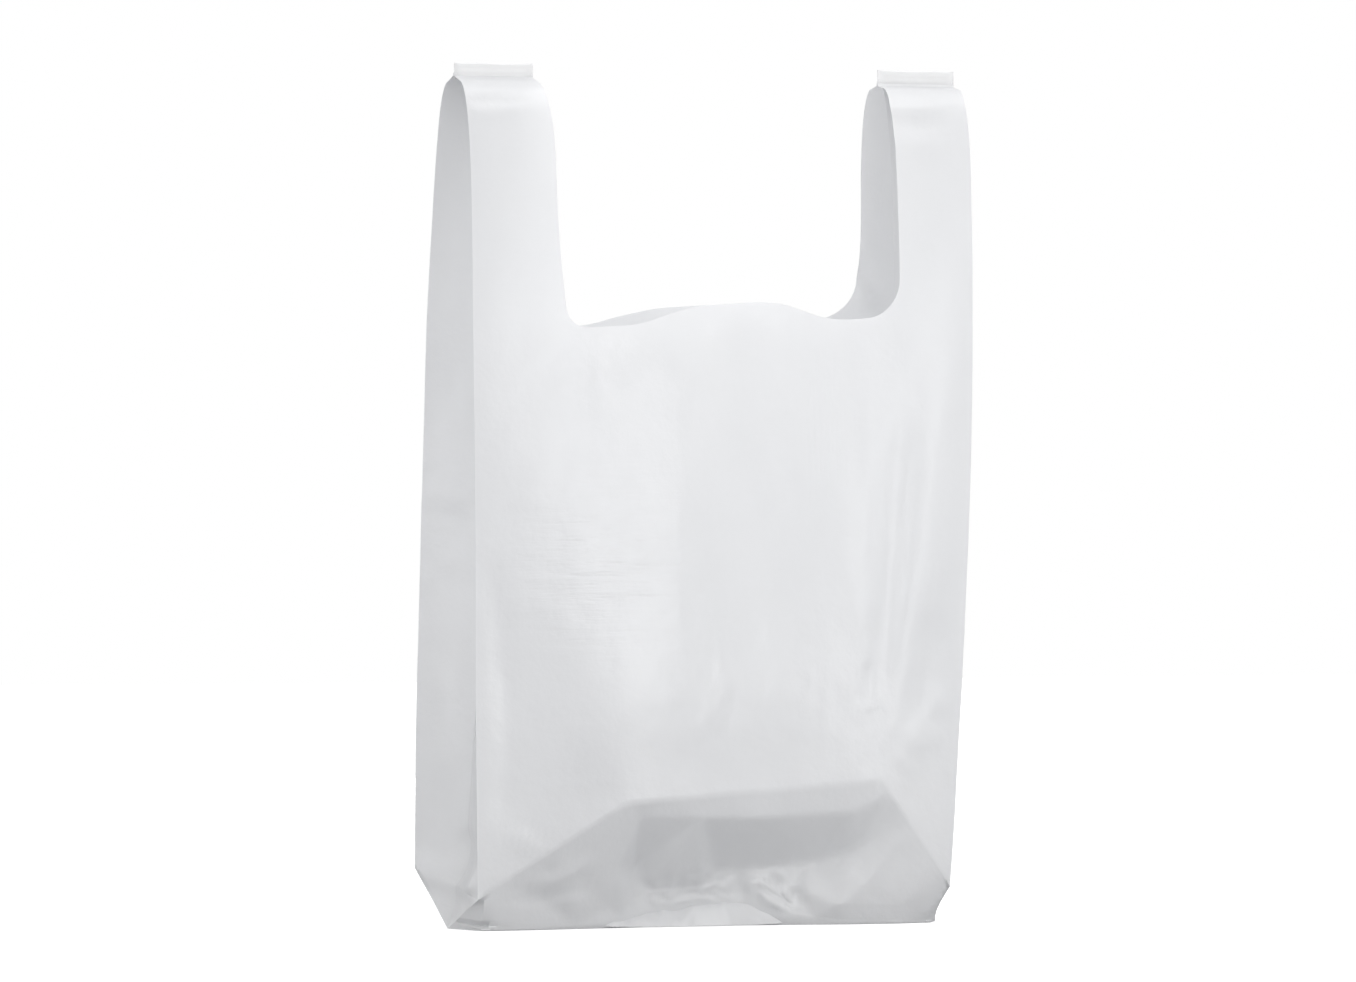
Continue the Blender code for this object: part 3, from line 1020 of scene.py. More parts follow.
class FilmShell:
    """Turns the two halves into one closed thin mesh."""

    def __init__(self, sizes: BagSizes, grid: Grid) -> None:
        """Keep the sizes and the grid."""
        self.sizes = sizes
        self.grid = grid

    def number(self) -> Dict[Half, Array]:
        """Number the grid points; points that both halves share get one number.

        Returns:
            Numbers for each half, rows by columns.
        """
        g = self.grid
        count = (g.top_row + 1) * (g.last + 1)
        front = np.arange(count).reshape(g.top_row + 1, g.last + 1)
        back = front + count
        for ids in (front, back):
            ids[:g.floor + 1, :g.left_fold + 1] = front[0, g.left_fold]
            ids[:g.floor + 1, g.right_fold:] = front[0, g.right_fold]
        for column in (0, g.last):
            back[:, column] = front[:, column]
        back[0] = front[0]
        return {Half.FRONT: front, Half.BACK: back}

    def cells(self, ids: Dict[Half, Array]) -> Array:
        """List the film's cells.

        Args:
            ids: numbers of the grid points.

        Returns:
            Four numbers for each cell, turned so that it faces outward.
        """
        g = self.grid
        out = []
        for half, n in ids.items():
            quads = np.stack((n[:-1, :-1], n[:-1, 1:], n[1:, 1:], n[1:, :-1]), axis=-1)
            keep = np.ones(quads.shape[:2], bool)
            keep[g.mouth_row:, g.left_cut:g.right_cut] = False
            quads = quads[keep]
            out.append(quads if half is Half.FRONT else quads[:, ::-1])
        return np.concatenate(out)

    def wall(self, halves: Dict[Half, Array]) -> Dict[Half, Array]:
        """Thickness of the film, thinned where layers lie close to each other.

        Args:
            halves: positions for each half.

        Returns:
            Thickness for each half, rows by columns.
        """
        g, s = self.grid, self.sizes
        folds = [g.left_fold, g.right_fold]
        column = np.arange(g.last + 1)
        step = np.minimum(np.abs(column - folds[0]), np.abs(column - folds[1]))
        out = {}
        for half, points in halves.items():
            reach = np.minimum(np.abs(points[:, folds[0], 1]), np.abs(points[:, folds[1], 1]))
            gap = reach[:, None] * ramp(step, g.gusset)[None, :]
            wall = np.minimum(s.film, s.layer_share * gap)
            wall[:, folds] = s.film
            for fold in folds:
                far = np.linalg.norm(points - points[0, fold], axis=-1)
                wall = np.minimum(wall, s.film_taper * far + s.least_film)
            out[half] = wall
        return out

    def outward(self, place: Array, faces: Faces) -> Array:
        """Work out which way is outward at each point.

        Args:
            place: positions of the points.
            faces: the faces, which already face outward.

        Returns:
            A unit vector for each point.
        """
        normal = np.zeros_like(place)
        for face in faces:
            a, b = place[face[2]] - place[face[0]], place[face[-1]] - place[face[1]]
            turn = np.array((a[1] * b[2] - a[2] * b[1], a[2] * b[0] - a[0] * b[2],
                             a[0] * b[1] - a[1] * b[0]))
            size = math.sqrt(float(turn @ turn))
            if size > 0:
                for corner in face:
                    normal[corner] += turn / size
        return normal / np.maximum(np.linalg.norm(normal, axis=1, keepdims=True), NEGLIGIBLE)

    def rim(self, faces: Faces) -> List[Tuple[int, int]]:
        """List the edges that only one face has."""
        edges = dict.fromkeys(edge for face in faces for edge in zip(face, face[1:] + face[:1]))
        return [(a, b) for a, b in edges if (b, a) not in edges]

    def build(self, halves: Dict[Half, Array], stretch: Dict[Half, Array],
              name: str) -> bpy.types.Object:
        """Make the closed mesh.

        Args:
            halves: positions for each half.
            stretch: painted shade, how far the film's colour is darkened, for each half.
            name: name of the piece.

        Returns:
            The finished piece.
        """
        ids = self.number()
        walls = self.wall(halves)
        total = 2 * ids[Half.FRONT].size
        place = np.zeros((total, 3))
        wall, thin = np.zeros(total), np.zeros(total)
        for half in (Half.BACK, Half.FRONT):
            spots = ids[half].ravel()
            place[spots] = halves[half].reshape(-1, 3)
            wall[spots] = walls[half].ravel()
            # thin carries each point's painted shade
            thin[spots] = stretch[half].ravel()
        for fold in (self.grid.left_fold, self.grid.right_fold):
            place[ids[Half.FRONT][0, fold]] = halves[Half.FRONT][0, fold]
        faces = [tuple(dict.fromkeys(quad)) for quad in self.cells(ids).tolist()]
        faces = [face for face in faces if len(face) > 2]
        used = sorted({corner for face in faces for corner in face})
        renumber = {old: new for new, old in enumerate(used)}
        faces = [tuple(renumber[c] for c in face) for face in faces]
        place, wall, thin = place[used], wall[used], thin[used]
        inner = place - self.outward(place, faces) * wall[:, None]
        count = len(used)
        shell = faces + [tuple(c + count for c in reversed(face)) for face in faces]
        shell += [(b, a, a + count, b + count) for a, b in self.rim(faces)]
        piece = make_piece(name, np.concatenate((place, inner)), shell, self.sizes.crisp)
        # store the painted shade as a point attribute for the material
        layer = piece.data.attributes.new(PAINTED_SHADE_ATTRIBUTE, "FLOAT", "POINT")
        layer.data.foreach_set("value", np.concatenate((thin, thin)).astype(np.float32))
        return piece


def make_piece(name: str, place: Array, faces: Faces, crisp: float) -> bpy.types.Object:
    """Make an object from points and faces and shade it smooth.

    Args:
        name: name of the piece.
        place: positions of its points.
        faces: the faces, as numbers of their points.
        crisp: angle in degrees from which an edge stays sharp.

    Returns:
        The object, linked to the scene.
    """
    data = bpy.data.meshes.new(name)
    data.from_pydata(place.tolist(), [], faces)
    data.validate()
    data.shade_smooth()
    data.set_sharp_from_angle(angle=math.radians(crisp))
    piece = bpy.data.objects.new(name, data)
    bpy.context.scene.collection.objects.link(piece)
    log.info("%s: %d triangles", name, sum(len(face) - 2 for face in faces))
    return piece


def strip_faces(columns: int, rows: int) -> Faces:
    """List the faces of a closed strip: a front grid, a back grid and the border between.

    Args:
        columns: cells across.
        rows: cells up.

    Returns:
        The faces; the back grid's points are numbered after the front's.
    """
    width = columns + 1
    count = width * (rows + 1)
    faces: Faces = []
    for row in range(rows):
        for column in range(columns):
            a = row * width + column
            face = (a, a + width, a + width + 1, a + 1)
            faces += [face, tuple(c + count for c in reversed(face))]
    border = (list(range(width))
              + [row * width + columns for row in range(1, rows + 1)]
              + [rows * width + column for column in range(columns - 1, -1, -1)]
              + [row * width for row in range(rows - 1, 0, -1)])
    faces += [(a, b, b + count, a + count) for a, b in zip(border, border[1:] + border[:1])]
    return faces


@dataclass(frozen=True)
class TabSizes:
    """Sizes of the welded strip across the top of a handle.

    Lengths are in metres and crisp is an angle in degrees. The slopes say how quickly the strip
    thickens from its rim, whose thickness is a share of the whole, and waves is in radians.
    """

    height: float = 0.0093
    thickness: float = 0.0016
    rim: float = 0.35
    rim_slope: float = 6.0
    end_slope: float = 10.0
    start_shift: float = 0.0004
    end_shift: float = 0.0006
    top_drop: float = 0.0003
    waviness: float = 0.0001
    waves: float = 9.4
    crimp: float = 0.00006
    crimps: int = 3
    columns: int = 44
    rows: int = 22
    crisp: float = 50.0


class WeldedTab:
    """The strip across a handle's top where four layers of film are fused."""

    def __init__(self, sizes: TabSizes, form: FilmForm, side: Side) -> None:
        """Keep the sizes, the bag's shape and the side of the handle."""
        self.sizes = sizes
        self.form = form
        self.side = side

    def build(self, name: str) -> bpy.types.Object:
        """Make the strip.

        Args:
            name: name of the piece.

        Returns:
            The finished piece.
        """
        s, form = self.sizes, self.form
        top, level = form.sizes.bag_height, form.sizes.tab_bottom
        ends = sorted(float(x) for x in (form.fold_x(self.side, level),
                                         form.cut_x(self.side, level)))
        place = []
        for row in range(s.rows + 1):
            for column in range(s.columns + 1):
                across, up = column / s.columns, row / s.rows
                x = mix(ends[0] + s.start_shift, ends[1] + s.end_shift, across)
                wander = s.waviness * math.sin(across * s.waves + self.side.value)
                z = mix(top - s.height, top + wander - s.top_drop, up)
                edge = min(1.0, s.rim_slope * min(up, 1 - up),
                           s.end_slope * min(across, 1 - across))
                body = s.thickness / 2 * mix(s.rim, 1.0, math.sin(edge * math.pi / 2))
                crimp = s.crimp * math.cos(up * s.crimps * 2 * math.pi)
                place.append((x, body + crimp * edge, z))
        place += [(x, -y, z) for x, y, z in place]
        return make_piece(name, np.array(place), strip_faces(s.columns, s.rows), s.crisp)


@dataclass(frozen=True)
class Waves:
    """Irregular waves along an edge: how many to a metre, how high, and their seed."""

    per_metre: float
    height: float
    seed: Tuple[float, float]

    def at(self, x: float, turn: float = 0.0) -> float:
        """Return the waves' offset at a place along the edge."""
        spot = Vector((x * self.per_metre, turn + self.seed[0], self.seed[1]))
        return noise.noise(spot) * self.height


@dataclass(frozen=True)
class FlangeSizes:
    """Sizes of the welded flange that shows under the bag's front.

    Lengths are in metres and crisp is an angle in degrees. The end margin is a share of the
    length, and the powers shape how the ends round off and how the strip curls down.
    """

    start: float = -0.082
    end: float = 0.043
    top_edge: Curve = (
        (-0.082, 0.0042), (-0.052, 0.0072), (-0.022, 0.0104), (0.002, 0.0124), (0.014, 0.0122),
        (0.028, 0.0092), (0.043, 0.0052))
    foot_edge: Curve = (
        (-0.082, 0.0012), (-0.045, 0.0006), (-0.010, 0.0006), (0.020, 0.0006), (0.043, 0.0012))
    behind: float = 0.0270
    front: float = 0.0345
    thickness: float = 0.0004
    slant: float = 0.6
    end_margin: float = 0.03
    end_power: float = 0.4
    curl: float = 1.35
    front_gap: float = 0.0004
    back_gap: float = 0.0001
    top_waves: Waves = Waves(130.0, 0.0016, (2.7, 5.9))
    foot_waves: Waves = Waves(95.0, 0.0020, (7.1, 0.4))
    ripples: Waves = Waves(160.0, 0.0011, (0.0, 3.3))
    ripple_turn: float = 1.2
    columns: int = 96
    rows: int = 14
    crisp: float = 40.0


class WeldFlange:
    """Narrow welded strip of the bag's bottom, turned forward under the front."""

    def __init__(self, sizes: FlangeSizes) -> None:
        """Keep the sizes."""
        self.sizes = sizes

    def build(self, name: str) -> bpy.types.Object:
        """Make the strip.

        Args:
            name: name of the piece.

        Returns:
            The finished piece.
        """
        s = self.sizes
        top, foot = np.array(s.top_edge), np.array(s.foot_edge)
        place = []
        for row in range(s.rows + 1):
            for column in range(s.columns + 1):
                across, down = column / s.columns, row / s.rows
                x = mix(s.start, s.end, across)
                high = float(np.interp(x, top[:, 0], top[:, 1])) + s.top_waves.at(x)
                low = float(np.interp(x, foot[:, 0], foot[:, 1]))
                inside = min(max(across, s.end_margin), 1 - s.end_margin)
                reach = mix(s.behind, s.front, math.sin(math.pi * inside) ** s.end_power)
                y = -mix(s.behind, reach, down) - s.foot_waves.at(x) * down
                ripple = s.ripples.at(x, down * s.ripple_turn) * math.sin(math.pi * down)
                z = mix(high, low, down ** s.curl) + ripple
                place.append((x, y, max(z, s.front_gap)))
        shift = s.thickness * s.slant
        place += [(x, y + shift, max(z - shift, s.back_gap)) for x, y, z in place]
        return make_piece(name, np.array(place), strip_faces(s.columns, s.rows), s.crisp)


def feed(tree: bpy.types.NodeTree, node: bpy.types.Node, inputs: Dict[Any, Any]) -> None:
    """Set a node's inputs.

    Args:
        tree: node tree that holds the node.
        node: the node.
        inputs: a value, or the socket that feeds it, for each input by name or number.
    """
    for key, value in inputs.items():
        if isinstance(value, bpy.types.NodeSocket):
            tree.links.new(value, node.inputs[key])
        else:
            node.inputs[key].default_value = value


def add_node(tree: bpy.types.NodeTree, kind: str, inputs: Dict[Any, Any],
             **settings: str) -> bpy.types.Node:
    """Add a node.

    Args:
        tree: node tree.
        kind: type of the node.
        inputs: a value, or the socket that feeds it, for each input by name or number.
        settings: the node's own settings, such as its operation.

    Returns:
        The node.
    """
    node = tree.nodes.new(kind)
    for name, value in settings.items():
        setattr(node, name, value)
    feed(tree, node, inputs)
    return node


@dataclass(frozen=True)
class WrinklePatch:
    """Fine wrinkles in part of the film: noise drawn out along its axes that fades out from a centre.
    """

    centre: Tuple[float, float, float]
    reach: Tuple[float, float, float]
    scale: Tuple[float, float, float]
    height: float


@dataclass(frozen=True)
class WhiteFilm:
    """Finish of the film: white, slightly cool, half glossy and a little translucent, with painted
    shade that darkens it where its attribute says.
    """

    base: Colour = (0.935, 0.938, 0.945)
    shade: Colour = (0.895, 0.899, 0.909)
    # thin is the greyer colour of the painted shade, mixed in where the painted-shade attribute says
    thin: Colour = (0.80, 0.806, 0.818)
    roughness: float = 0.25
    gloss: float = 0.8
    through: float = 0.55
    streaks: Tuple[float, float, float] = (26.0, 26.0, 7.0)
    streak_detail: float = 4.0
    grain: float = 55.0
    grain_detail: float = 5.0
    unevenness: float = 0.55
    bump_depth: float = 0.0012
    wrinkles: Tuple[WrinklePatch, ...] = (
        WrinklePatch((-0.076, -0.055, 0.198), (0.068, 0.05, 0.070), (26.0, 30.0, 210.0), 0.0009),
        WrinklePatch((0.056, -0.055, 0.275), (0.022, 0.05, 0.060), (620.0, 60.0, 16.0), 0.0005),
        WrinklePatch((-0.085, -0.055, 0.300), (0.030, 0.05, 0.030), (180.0, 60.0, 120.0), 0.0004),
    )

    def build(self, name: str) -> bpy.types.Material:
        """Make the material.

        Args:
            name: name of the material.

        Returns:
            The material.
        """
        material = bpy.data.materials.new(name)
        material.use_nodes = True
        tree = material.node_tree
        spot = add_node(tree, "ShaderNodeTexCoord", {}).outputs["Object"]
        streaks = add_node(tree, "ShaderNodeMapping", {"Vector": spot, "Scale": self.streaks})
        cloud = add_node(tree, "ShaderNodeTexNoise", {
            "Vector": streaks.outputs["Vector"], "Scale": 1.0, "Detail": self.streak_detail})
        tint = add_node(tree, "ShaderNodeMix", {
            0: cloud.outputs["Fac"], 6: (*self.shade, 1.0), 7: (*self.base, 1.0)},
            data_type="RGBA")
        # painted shade: the colour is darkened towards thin by the painted-shade attribute
        painted_shade = add_node(tree, "ShaderNodeAttribute", {}, attribute_name=PAINTED_SHADE_ATTRIBUTE)
        thinned = add_node(tree, "ShaderNodeMix", {
            0: painted_shade.outputs["Fac"], 6: tint.outputs[2], 7: (*self.thin, 1.0)},
            data_type="RGBA")
        crinkle = add_node(tree, "ShaderNodeTexNoise", {
            "Vector": spot, "Scale": self.grain, "Detail": self.grain_detail})
        height = crinkle.outputs["Fac"]
        for patch in self.wrinkles:
            height = self.add_wrinkles(tree, patch, spot, height)
        bump = add_node(tree, "ShaderNodeBump", {
            "Height": height, "Strength": self.unevenness, "Distance": self.bump_depth})
        colour, normal = thinned.outputs[2], bump.outputs["Normal"]
        glow = add_node(tree, "ShaderNodeBsdfTranslucent", {"Color": colour, "Normal": normal})
        shader = tree.nodes["Principled BSDF"]
        feed(tree, shader, {"Base Color": colour, "Normal": normal, "Roughness": self.roughness,
                            "Specular IOR Level": self.gloss})
        blend = add_node(tree, "ShaderNodeMixShader", {
            "Fac": self.through, 1: shader.outputs["BSDF"], 2: glow.outputs["BSDF"]})
        feed(tree, tree.nodes["Material Output"], {"Surface": blend.outputs["Shader"]})
        return material

    def add_wrinkles(self, tree: bpy.types.NodeTree, patch: WrinklePatch,
                     spot: bpy.types.NodeSocket,
                     height: bpy.types.NodeSocket) -> bpy.types.NodeSocket:
        """Add one patch of fine wrinkles to the film's unevenness.

        Args:
            tree: node tree of the material.
            patch: the patch.
            spot: socket with the place on the bag.
            height: socket with the unevenness so far.

        Returns:
            Socket with the unevenness and the patch.
        """
        lines = add_node(tree, "ShaderNodeMapping", {"Vector": spot, "Scale": patch.scale})
        grain = add_node(tree, "ShaderNodeTexNoise", {
            "Vector": lines.outputs["Vector"], "Scale": 1.0, "Detail": self.streak_detail})
        area = add_node(tree, "ShaderNodeMapping", {}, vector_type="TEXTURE")
        feed(tree, area, {"Vector": spot, "Location": patch.centre, "Scale": patch.reach})
        fade = add_node(tree, "ShaderNodeTexGradient", {"Vector": area.outputs["Vector"]},
                        gradient_type="SPHERICAL")
        depth = patch.height / self.bump_depth * NOISE_SWING
        strength = add_node(tree, "ShaderNodeMath", {0: fade.outputs["Fac"], 1: depth},
                            operation="MULTIPLY")
        both = add_node(tree, "ShaderNodeMath", {
            0: grain.outputs["Fac"], 1: strength.outputs[0], 2: height}, operation="MULTIPLY_ADD")
        return both.outputs[0]


@dataclass(frozen=True)
class SoftLamp:
    """A soft box: where it hangs round the bag, in degrees and metres, and its power."""

    name: str
    turn: float
    height: float
    distance: float
    width: float
    length: float
    power: float


@dataclass(frozen=True)
class Studio:
    """White studio: floor, soft light and the camera. Lengths are in metres."""

    lamps: Tuple[SoftLamp, ...]
    sky: float = 1.18
    aim: float = 0.22
    floor_size: float = 14.0
    floor_drop: float = 0.0002
    floor_colour: float = 0.33
    floor_roughness: float = 0.9
    floor_seen: float = 0.45
    floor_glow: float = 0.78
    camera_distance: float = 6.0
    camera_aside: float = -0.01096
    camera_up: float = 0.2373
    lens: float = 290.7
    sensor: float = 36.0
    farthest: float = 60.0

    def world(self) -> None:
        """Surround the scene with even light that the camera sees as plain white."""
        world = bpy.data.worlds.new("studio")
        bpy.context.scene.world = world
        world.use_nodes = True
        tree = world.node_tree
        lit = tree.nodes["Background"]
        feed(tree, lit, {"Color": WHITE, "Strength": self.sky})
        seen = add_node(tree, "ShaderNodeBackground", {"Color": WHITE, "Strength": 1.0})
        ray = add_node(tree, "ShaderNodeLightPath", {}).outputs
        plain = ray["Is Camera Ray"]
        for other in ("Is Glossy Ray", "Is Transmission Ray"):
            either = add_node(tree, "ShaderNodeMath", {0: plain, 1: ray[other]},
                              operation="MAXIMUM")
            plain = either.outputs[0]
        blend = add_node(tree, "ShaderNodeMixShader", {
            "Fac": plain, 1: lit.outputs[0], 2: seen.outputs[0]})
        feed(tree, tree.nodes["World Output"], {"Surface": blend.outputs[0]})

    def floor(self) -> bpy.types.Object:
        """Lay the pale floor, which the camera sees lighter than it lights the bag.

        Returns:
            The floor.
        """
        bpy.ops.object.select_all(action="DESELECT")
        bpy.ops.mesh.primitive_plane_add(size=self.floor_size, location=(0, 0, -self.floor_drop))
        floor = bpy.context.object
        floor.name = "floor"
        bpy.ops.object.transform_apply(location=True, rotation=True, scale=True)
        material = bpy.data.materials.new("floor")
        material.use_nodes = True
        tree = material.node_tree
        shader = tree.nodes["Principled BSDF"]
        feed(tree, shader, {"Base Color": (*(self.floor_colour,) * 3, 1.0),
                            "Roughness": self.floor_roughness, "Specular IOR Level": 0.0})
        pale = add_node(tree, "ShaderNodeBsdfDiffuse", {"Color": (*(self.floor_seen,) * 3, 1.0)})
        glow = add_node(tree, "ShaderNodeEmission", {"Strength": self.floor_glow})
        both = add_node(tree, "ShaderNodeAddShader", {0: pale.outputs[0], 1: glow.outputs[0]})
        ray = add_node(tree, "ShaderNodeLightPath", {})
        seen = add_node(tree, "ShaderNodeMixShader", {
            "Fac": ray.outputs["Is Camera Ray"], 1: shader.outputs[0], 2: both.outputs[0]})
        feed(tree, tree.nodes["Material Output"], {"Surface": seen.outputs[0]})
        floor.data.materials.append(material)
        return floor

    def hang(self, lamp: SoftLamp) -> None:
        """Hang one soft light.

        Args:
            lamp: the light.
        """
        turn, rise = math.radians(lamp.turn), math.radians(lamp.height)
        away = Vector((math.sin(turn) * math.cos(rise), -math.cos(turn) * math.cos(rise),
                       math.sin(rise)))
        light = bpy.data.lights.new(lamp.name, "AREA")
        light.energy = lamp.power
        light.shape = "RECTANGLE"
        light.size = lamp.width
        light.size_y = lamp.length
        piece = bpy.data.objects.new(lamp.name, light)
        piece.location = away * lamp.distance + Vector((0, 0, self.aim))
        piece.rotation_euler = (-away).to_track_quat("-Z", "Y").to_euler()
        piece.visible_camera = False
        bpy.context.scene.collection.objects.link(piece)

    def camera(self, plane: ViewPlane) -> None:
        """Set up the camera at the picture's angle.

        Args:
            plane: the picture plane.
        """
        right = Vector((math.cos(plane.azimuth), math.sin(plane.azimuth), 0))
        back = Vector((math.sin(plane.azimuth), -math.cos(plane.azimuth), 0))
        data = bpy.data.cameras.new("camera")
        data.lens = self.lens
        data.sensor_width = self.sensor
        data.clip_end = self.farthest
        camera = bpy.data.objects.new("camera", data)
        camera.location = (right * self.camera_aside + Vector((0, 0, self.camera_up))
                           + back * self.camera_distance)
        camera.rotation_euler = (-back).to_track_quat("-Z", "Y").to_euler()
        bpy.context.scene.collection.objects.link(camera)
        bpy.context.scene.camera = camera

    def build(self, plane: ViewPlane) -> bpy.types.Object:
        """Build the studio.

        Args:
            plane: the picture plane.

        Returns:
            The floor.
        """
        self.world()
        for lamp in self.lamps:
            self.hang(lamp)
        self.camera(plane)
        bpy.context.scene.view_settings.view_transform = "Standard"
        return self.floor()


FRONT_CREASES: Tuple[Crease, ...] = (
    Crease(((640, 338), (664, 362), (676, 395), (680, 440), (680, 560), (678, 640), (668, 715)),
           1.4, 35.0, Profile.TENT, fades=(0.1, 0.25), far_width=45.0),
    Crease(((499, 590), (505, 650), (510, 700), (512, 740), (509, 780), (503, 835)),
           -1.5, 11.0, Profile.TENT, fades=(0.35, 0.2), far_width=42.0),
    Crease(((487, 545), (492, 575), (499, 620), (506, 670)),
           -1.0, 8.0, Profile.TENT, fades=(0.3, 0.6), far_width=12.0),
    Crease(((606, 330), (612, 400), (622, 520)), -0.5, 8.0, Profile.PINCH, fades=(0.2, 0.6)),
    Crease(((690, 326), (730, 320), (790, 322)), 1.4, 11.0, fades=(0.35, 0.35)),
    Crease(((560, 690), (700, 700), (860, 690)), 2.0, 30.0, fades=(0.3, 0.3)),
    Crease(((880, 345), (877, 500), (868, 620), (860, 690)), 1.1, 8.0, Profile.PINCH),
    Crease(((910, 380), (900, 500), (887, 620), (880, 700)), -1.2, 7.0),
    Crease(((964, 326), (949, 380), (934, 445), (916, 541), (902, 648), (888, 768)),
           1.0, 15.0, Profile.TENT, fades=(0.1, 0.12), far_width=24.0),
    Crease(((930, 600), (925, 680), (915, 740)), -1.2, 9.0, fades=(0.3, 0.3)),
    Crease(((486, 512), (520, 516), (560, 512)), -0.2, 2.4),
    Crease(((540, 588), (570, 592), (602, 590)), -0.25, 2.4),
    Crease(((898, 774), (916, 750), (938, 722)), 0.8, 4.2, Profile.PINCH),
    Crease(((908, 760), (928, 722), (955, 684)), 0.8, 4.2, Profile.PINCH),
    Crease(((905, 768), (922, 740), (946, 706)), -0.6, 4.2),
    Crease(((509, 821), (528, 836), (550, 850)), 0.6, 2.4, Profile.PINCH),
    Crease(((520, 812), (536, 826), (556, 838)), -0.5, 2.4),
)

STRAP_CREASES: Tuple[Crease, ...] = (
    Crease(((455, 85), (490, 86), (526, 84)), -0.9, 2.0),
    Crease(((456, 96), (490, 97), (526, 95)), 0.8, 2.6),
    Crease(((456, 105), (490, 106), (527, 104)), -0.9, 2.0),
    Crease(((456, 113), (490, 114), (527, 112)), 0.8, 2.8),
    Crease(((470, 153), (500, 154), (530, 152)), 0.5, 2.0),
    Crease(((484, 296), (520, 298), (560, 292)), 0.4, 2.2),
    Crease(((880, 104), (915, 106), (950, 103)), 1.0, 2.6),
    Crease(((880, 120), (915, 122), (952, 119)), -0.9, 3.4),
    Crease(((882, 146), (915, 148), (953, 145)), 0.8, 2.8),
)

BASE_CREASES: Tuple[Crease, ...] = (
    Crease(((868, 812), (850, 850), (815, 890)), -0.8, 2.6, Profile.SOFT, Zone.FRONT_BASE),
    Crease(((880, 815), (866, 850), (830, 892)), 0.6, 2.6, Profile.SOFT, Zone.FRONT_BASE),
    Crease(((738, 884), (770, 874), (803, 867)), 1.2, 3.0, Profile.PINCH, Zone.FRONT_BASE),
    Crease(((520, 884), (560, 872), (600, 852)), 0.9, 4.0, Profile.SOFT, Zone.FRONT_BASE),
    Crease(((500, 896), (550, 892), (600, 882)), -0.7, 3.0, Profile.SOFT, Zone.FRONT_BASE),
)

GUSSET_CREASES: Tuple[Crease, ...] = (
    Crease(((412, 864), (446, 874), (484, 884)), 3.6, 8.0, Profile.SOFT, Zone.LEFT_GUSSET,
           (0.1, 0.1)),
    Crease(((420, 490), (450, 497), (479, 498)), 0.3, 3.0, Profile.SOFT, Zone.LEFT_GUSSET),
    Crease(((420, 512), (450, 516), (479, 525)), -0.3, 3.0, Profile.SOFT, Zone.LEFT_GUSSET),
    Crease(((472, 822), (468, 850), (466, 884)), -2.6, 5.0, Profile.SOFT, Zone.LEFT_GUSSET,
           (0.3, 0.2)),
    Crease(((440, 640), (448, 720), (446, 800)), 0.8, 5.0, Profile.SOFT, Zone.LEFT_GUSSET),
)

CRUMPLES: Tuple[Crumple, ...] = (
    Crumple((765, 690), (110, 80), 13.0, 0.22, stretch=(0.9, 1.2), seed=1.1),
    Crumple((727, 700), (38, 60), 11.0, 0.22, stretch=(0.8, 1.5), seed=1.5),
    Crumple((867, 690), (20, 46), 9.0, 0.6, stretch=(0.8, 1.4), seed=2.5),
    Crumple((590, 560), (130, 120), 9.0, 0.28, stretch=(2.4, 0.8), seed=3.1),
    Crumple((590, 800), (70, 40), 12.0, 0.2, seed=3.5),
    Crumple((740, 560), (260, 220), 38.0, 0.12, stretch=(0.8, 1.9), seed=4.5),
    Crumple((700, 888), (70, 24), 9.0, 1.2, Zone.FRONT_BASE, seed=5.5),
    Crumple((790, 886), (30, 18), 8.0, 1.3, Zone.FRONT_BASE, seed=6.5),
    Crumple((560, 880), (80, 26), 13.0, 0.6, Zone.FRONT_BASE, seed=8.5),
    Crumple((880, 870), (60, 34), 12.0, 0.4, Zone.FRONT_BASE, seed=9.5),
    Crumple((740, 560), (330, 360), 42.0, 1.7, Zone.BACK_PANEL, (0.8, 1.8), 10.5),
    Crumple((700, 870), (280, 60), 15.0, 1.3, Zone.BACK_BASE, seed=11.5),
    Crumple((452, 560), (30, 330), 20.0, 0.35, Zone.LEFT_GUSSET, (1.0, 2.2), 12.5),
    Crumple((940, 560), (60, 330), 20.0, 0.7, Zone.RIGHT_GUSSET, (1.0, 2.2), 13.5),
)

# Painted shade: the lower left facet, a strip by the right edge and the dent above the belly's left
# corner are darkened in colour to stand in for their shade.
PAINTED_SHADE_AREAS: Tuple[PaintedShadeArea, ...] = (
    PaintedShadeArea(((497, 560), (518, 548), (540, 604), (561, 648), (598, 720), (617, 762),
                   (630, 797), (560, 842), (500, 884), (503, 820), (508, 780), (511, 740),
                   (507, 680), (499, 620)), 0.05, 2.5),
    PaintedShadeArea(((922, 590), (950, 560), (952, 700), (925, 740), (905, 745)), 0.12, 9.0),
    PaintedShadeArea(((572, 735), (598, 735), (617, 768), (629, 796), (596, 800), (574, 770)), 0.26, 9.0),
)

BACK_CREASES: Tuple[Crease, ...] = (
    Crease(((856, 262), (874, 278), (896, 306)), 3.2, 4.0, Profile.PINCH, Zone.BACK_PANEL),
    Crease(((856, 290), (874, 296), (898, 284)), -2.6, 4.0, Profile.PINCH, Zone.BACK_PANEL),
    Crease(((866, 215), (880, 236), (900, 262)), 1.4, 4.0, Profile.PINCH, Zone.BACK_PANEL),
    Crease(((640, 340), (652, 460), (640, 600), (650, 740)), 2.4, 12.0, Profile.PINCH,
           Zone.BACK_PANEL),
    Crease(((860, 340), (850, 470), (862, 600), (850, 700)), 2.0, 12.0, Profile.PINCH,
           Zone.BACK_PANEL),
    Crease(((520, 520), (600, 530), (700, 522)), 0.5, 2.6, Profile.SOFT, Zone.BACK_PANEL),
    Crease(((760, 600), (830, 588), (900, 596)), -0.5, 2.6, Profile.SOFT, Zone.BACK_PANEL),
    Crease(((560, 640), (600, 700), (650, 780)), 1.2, 5.0, Profile.PINCH, Zone.BACK_PANEL),
)

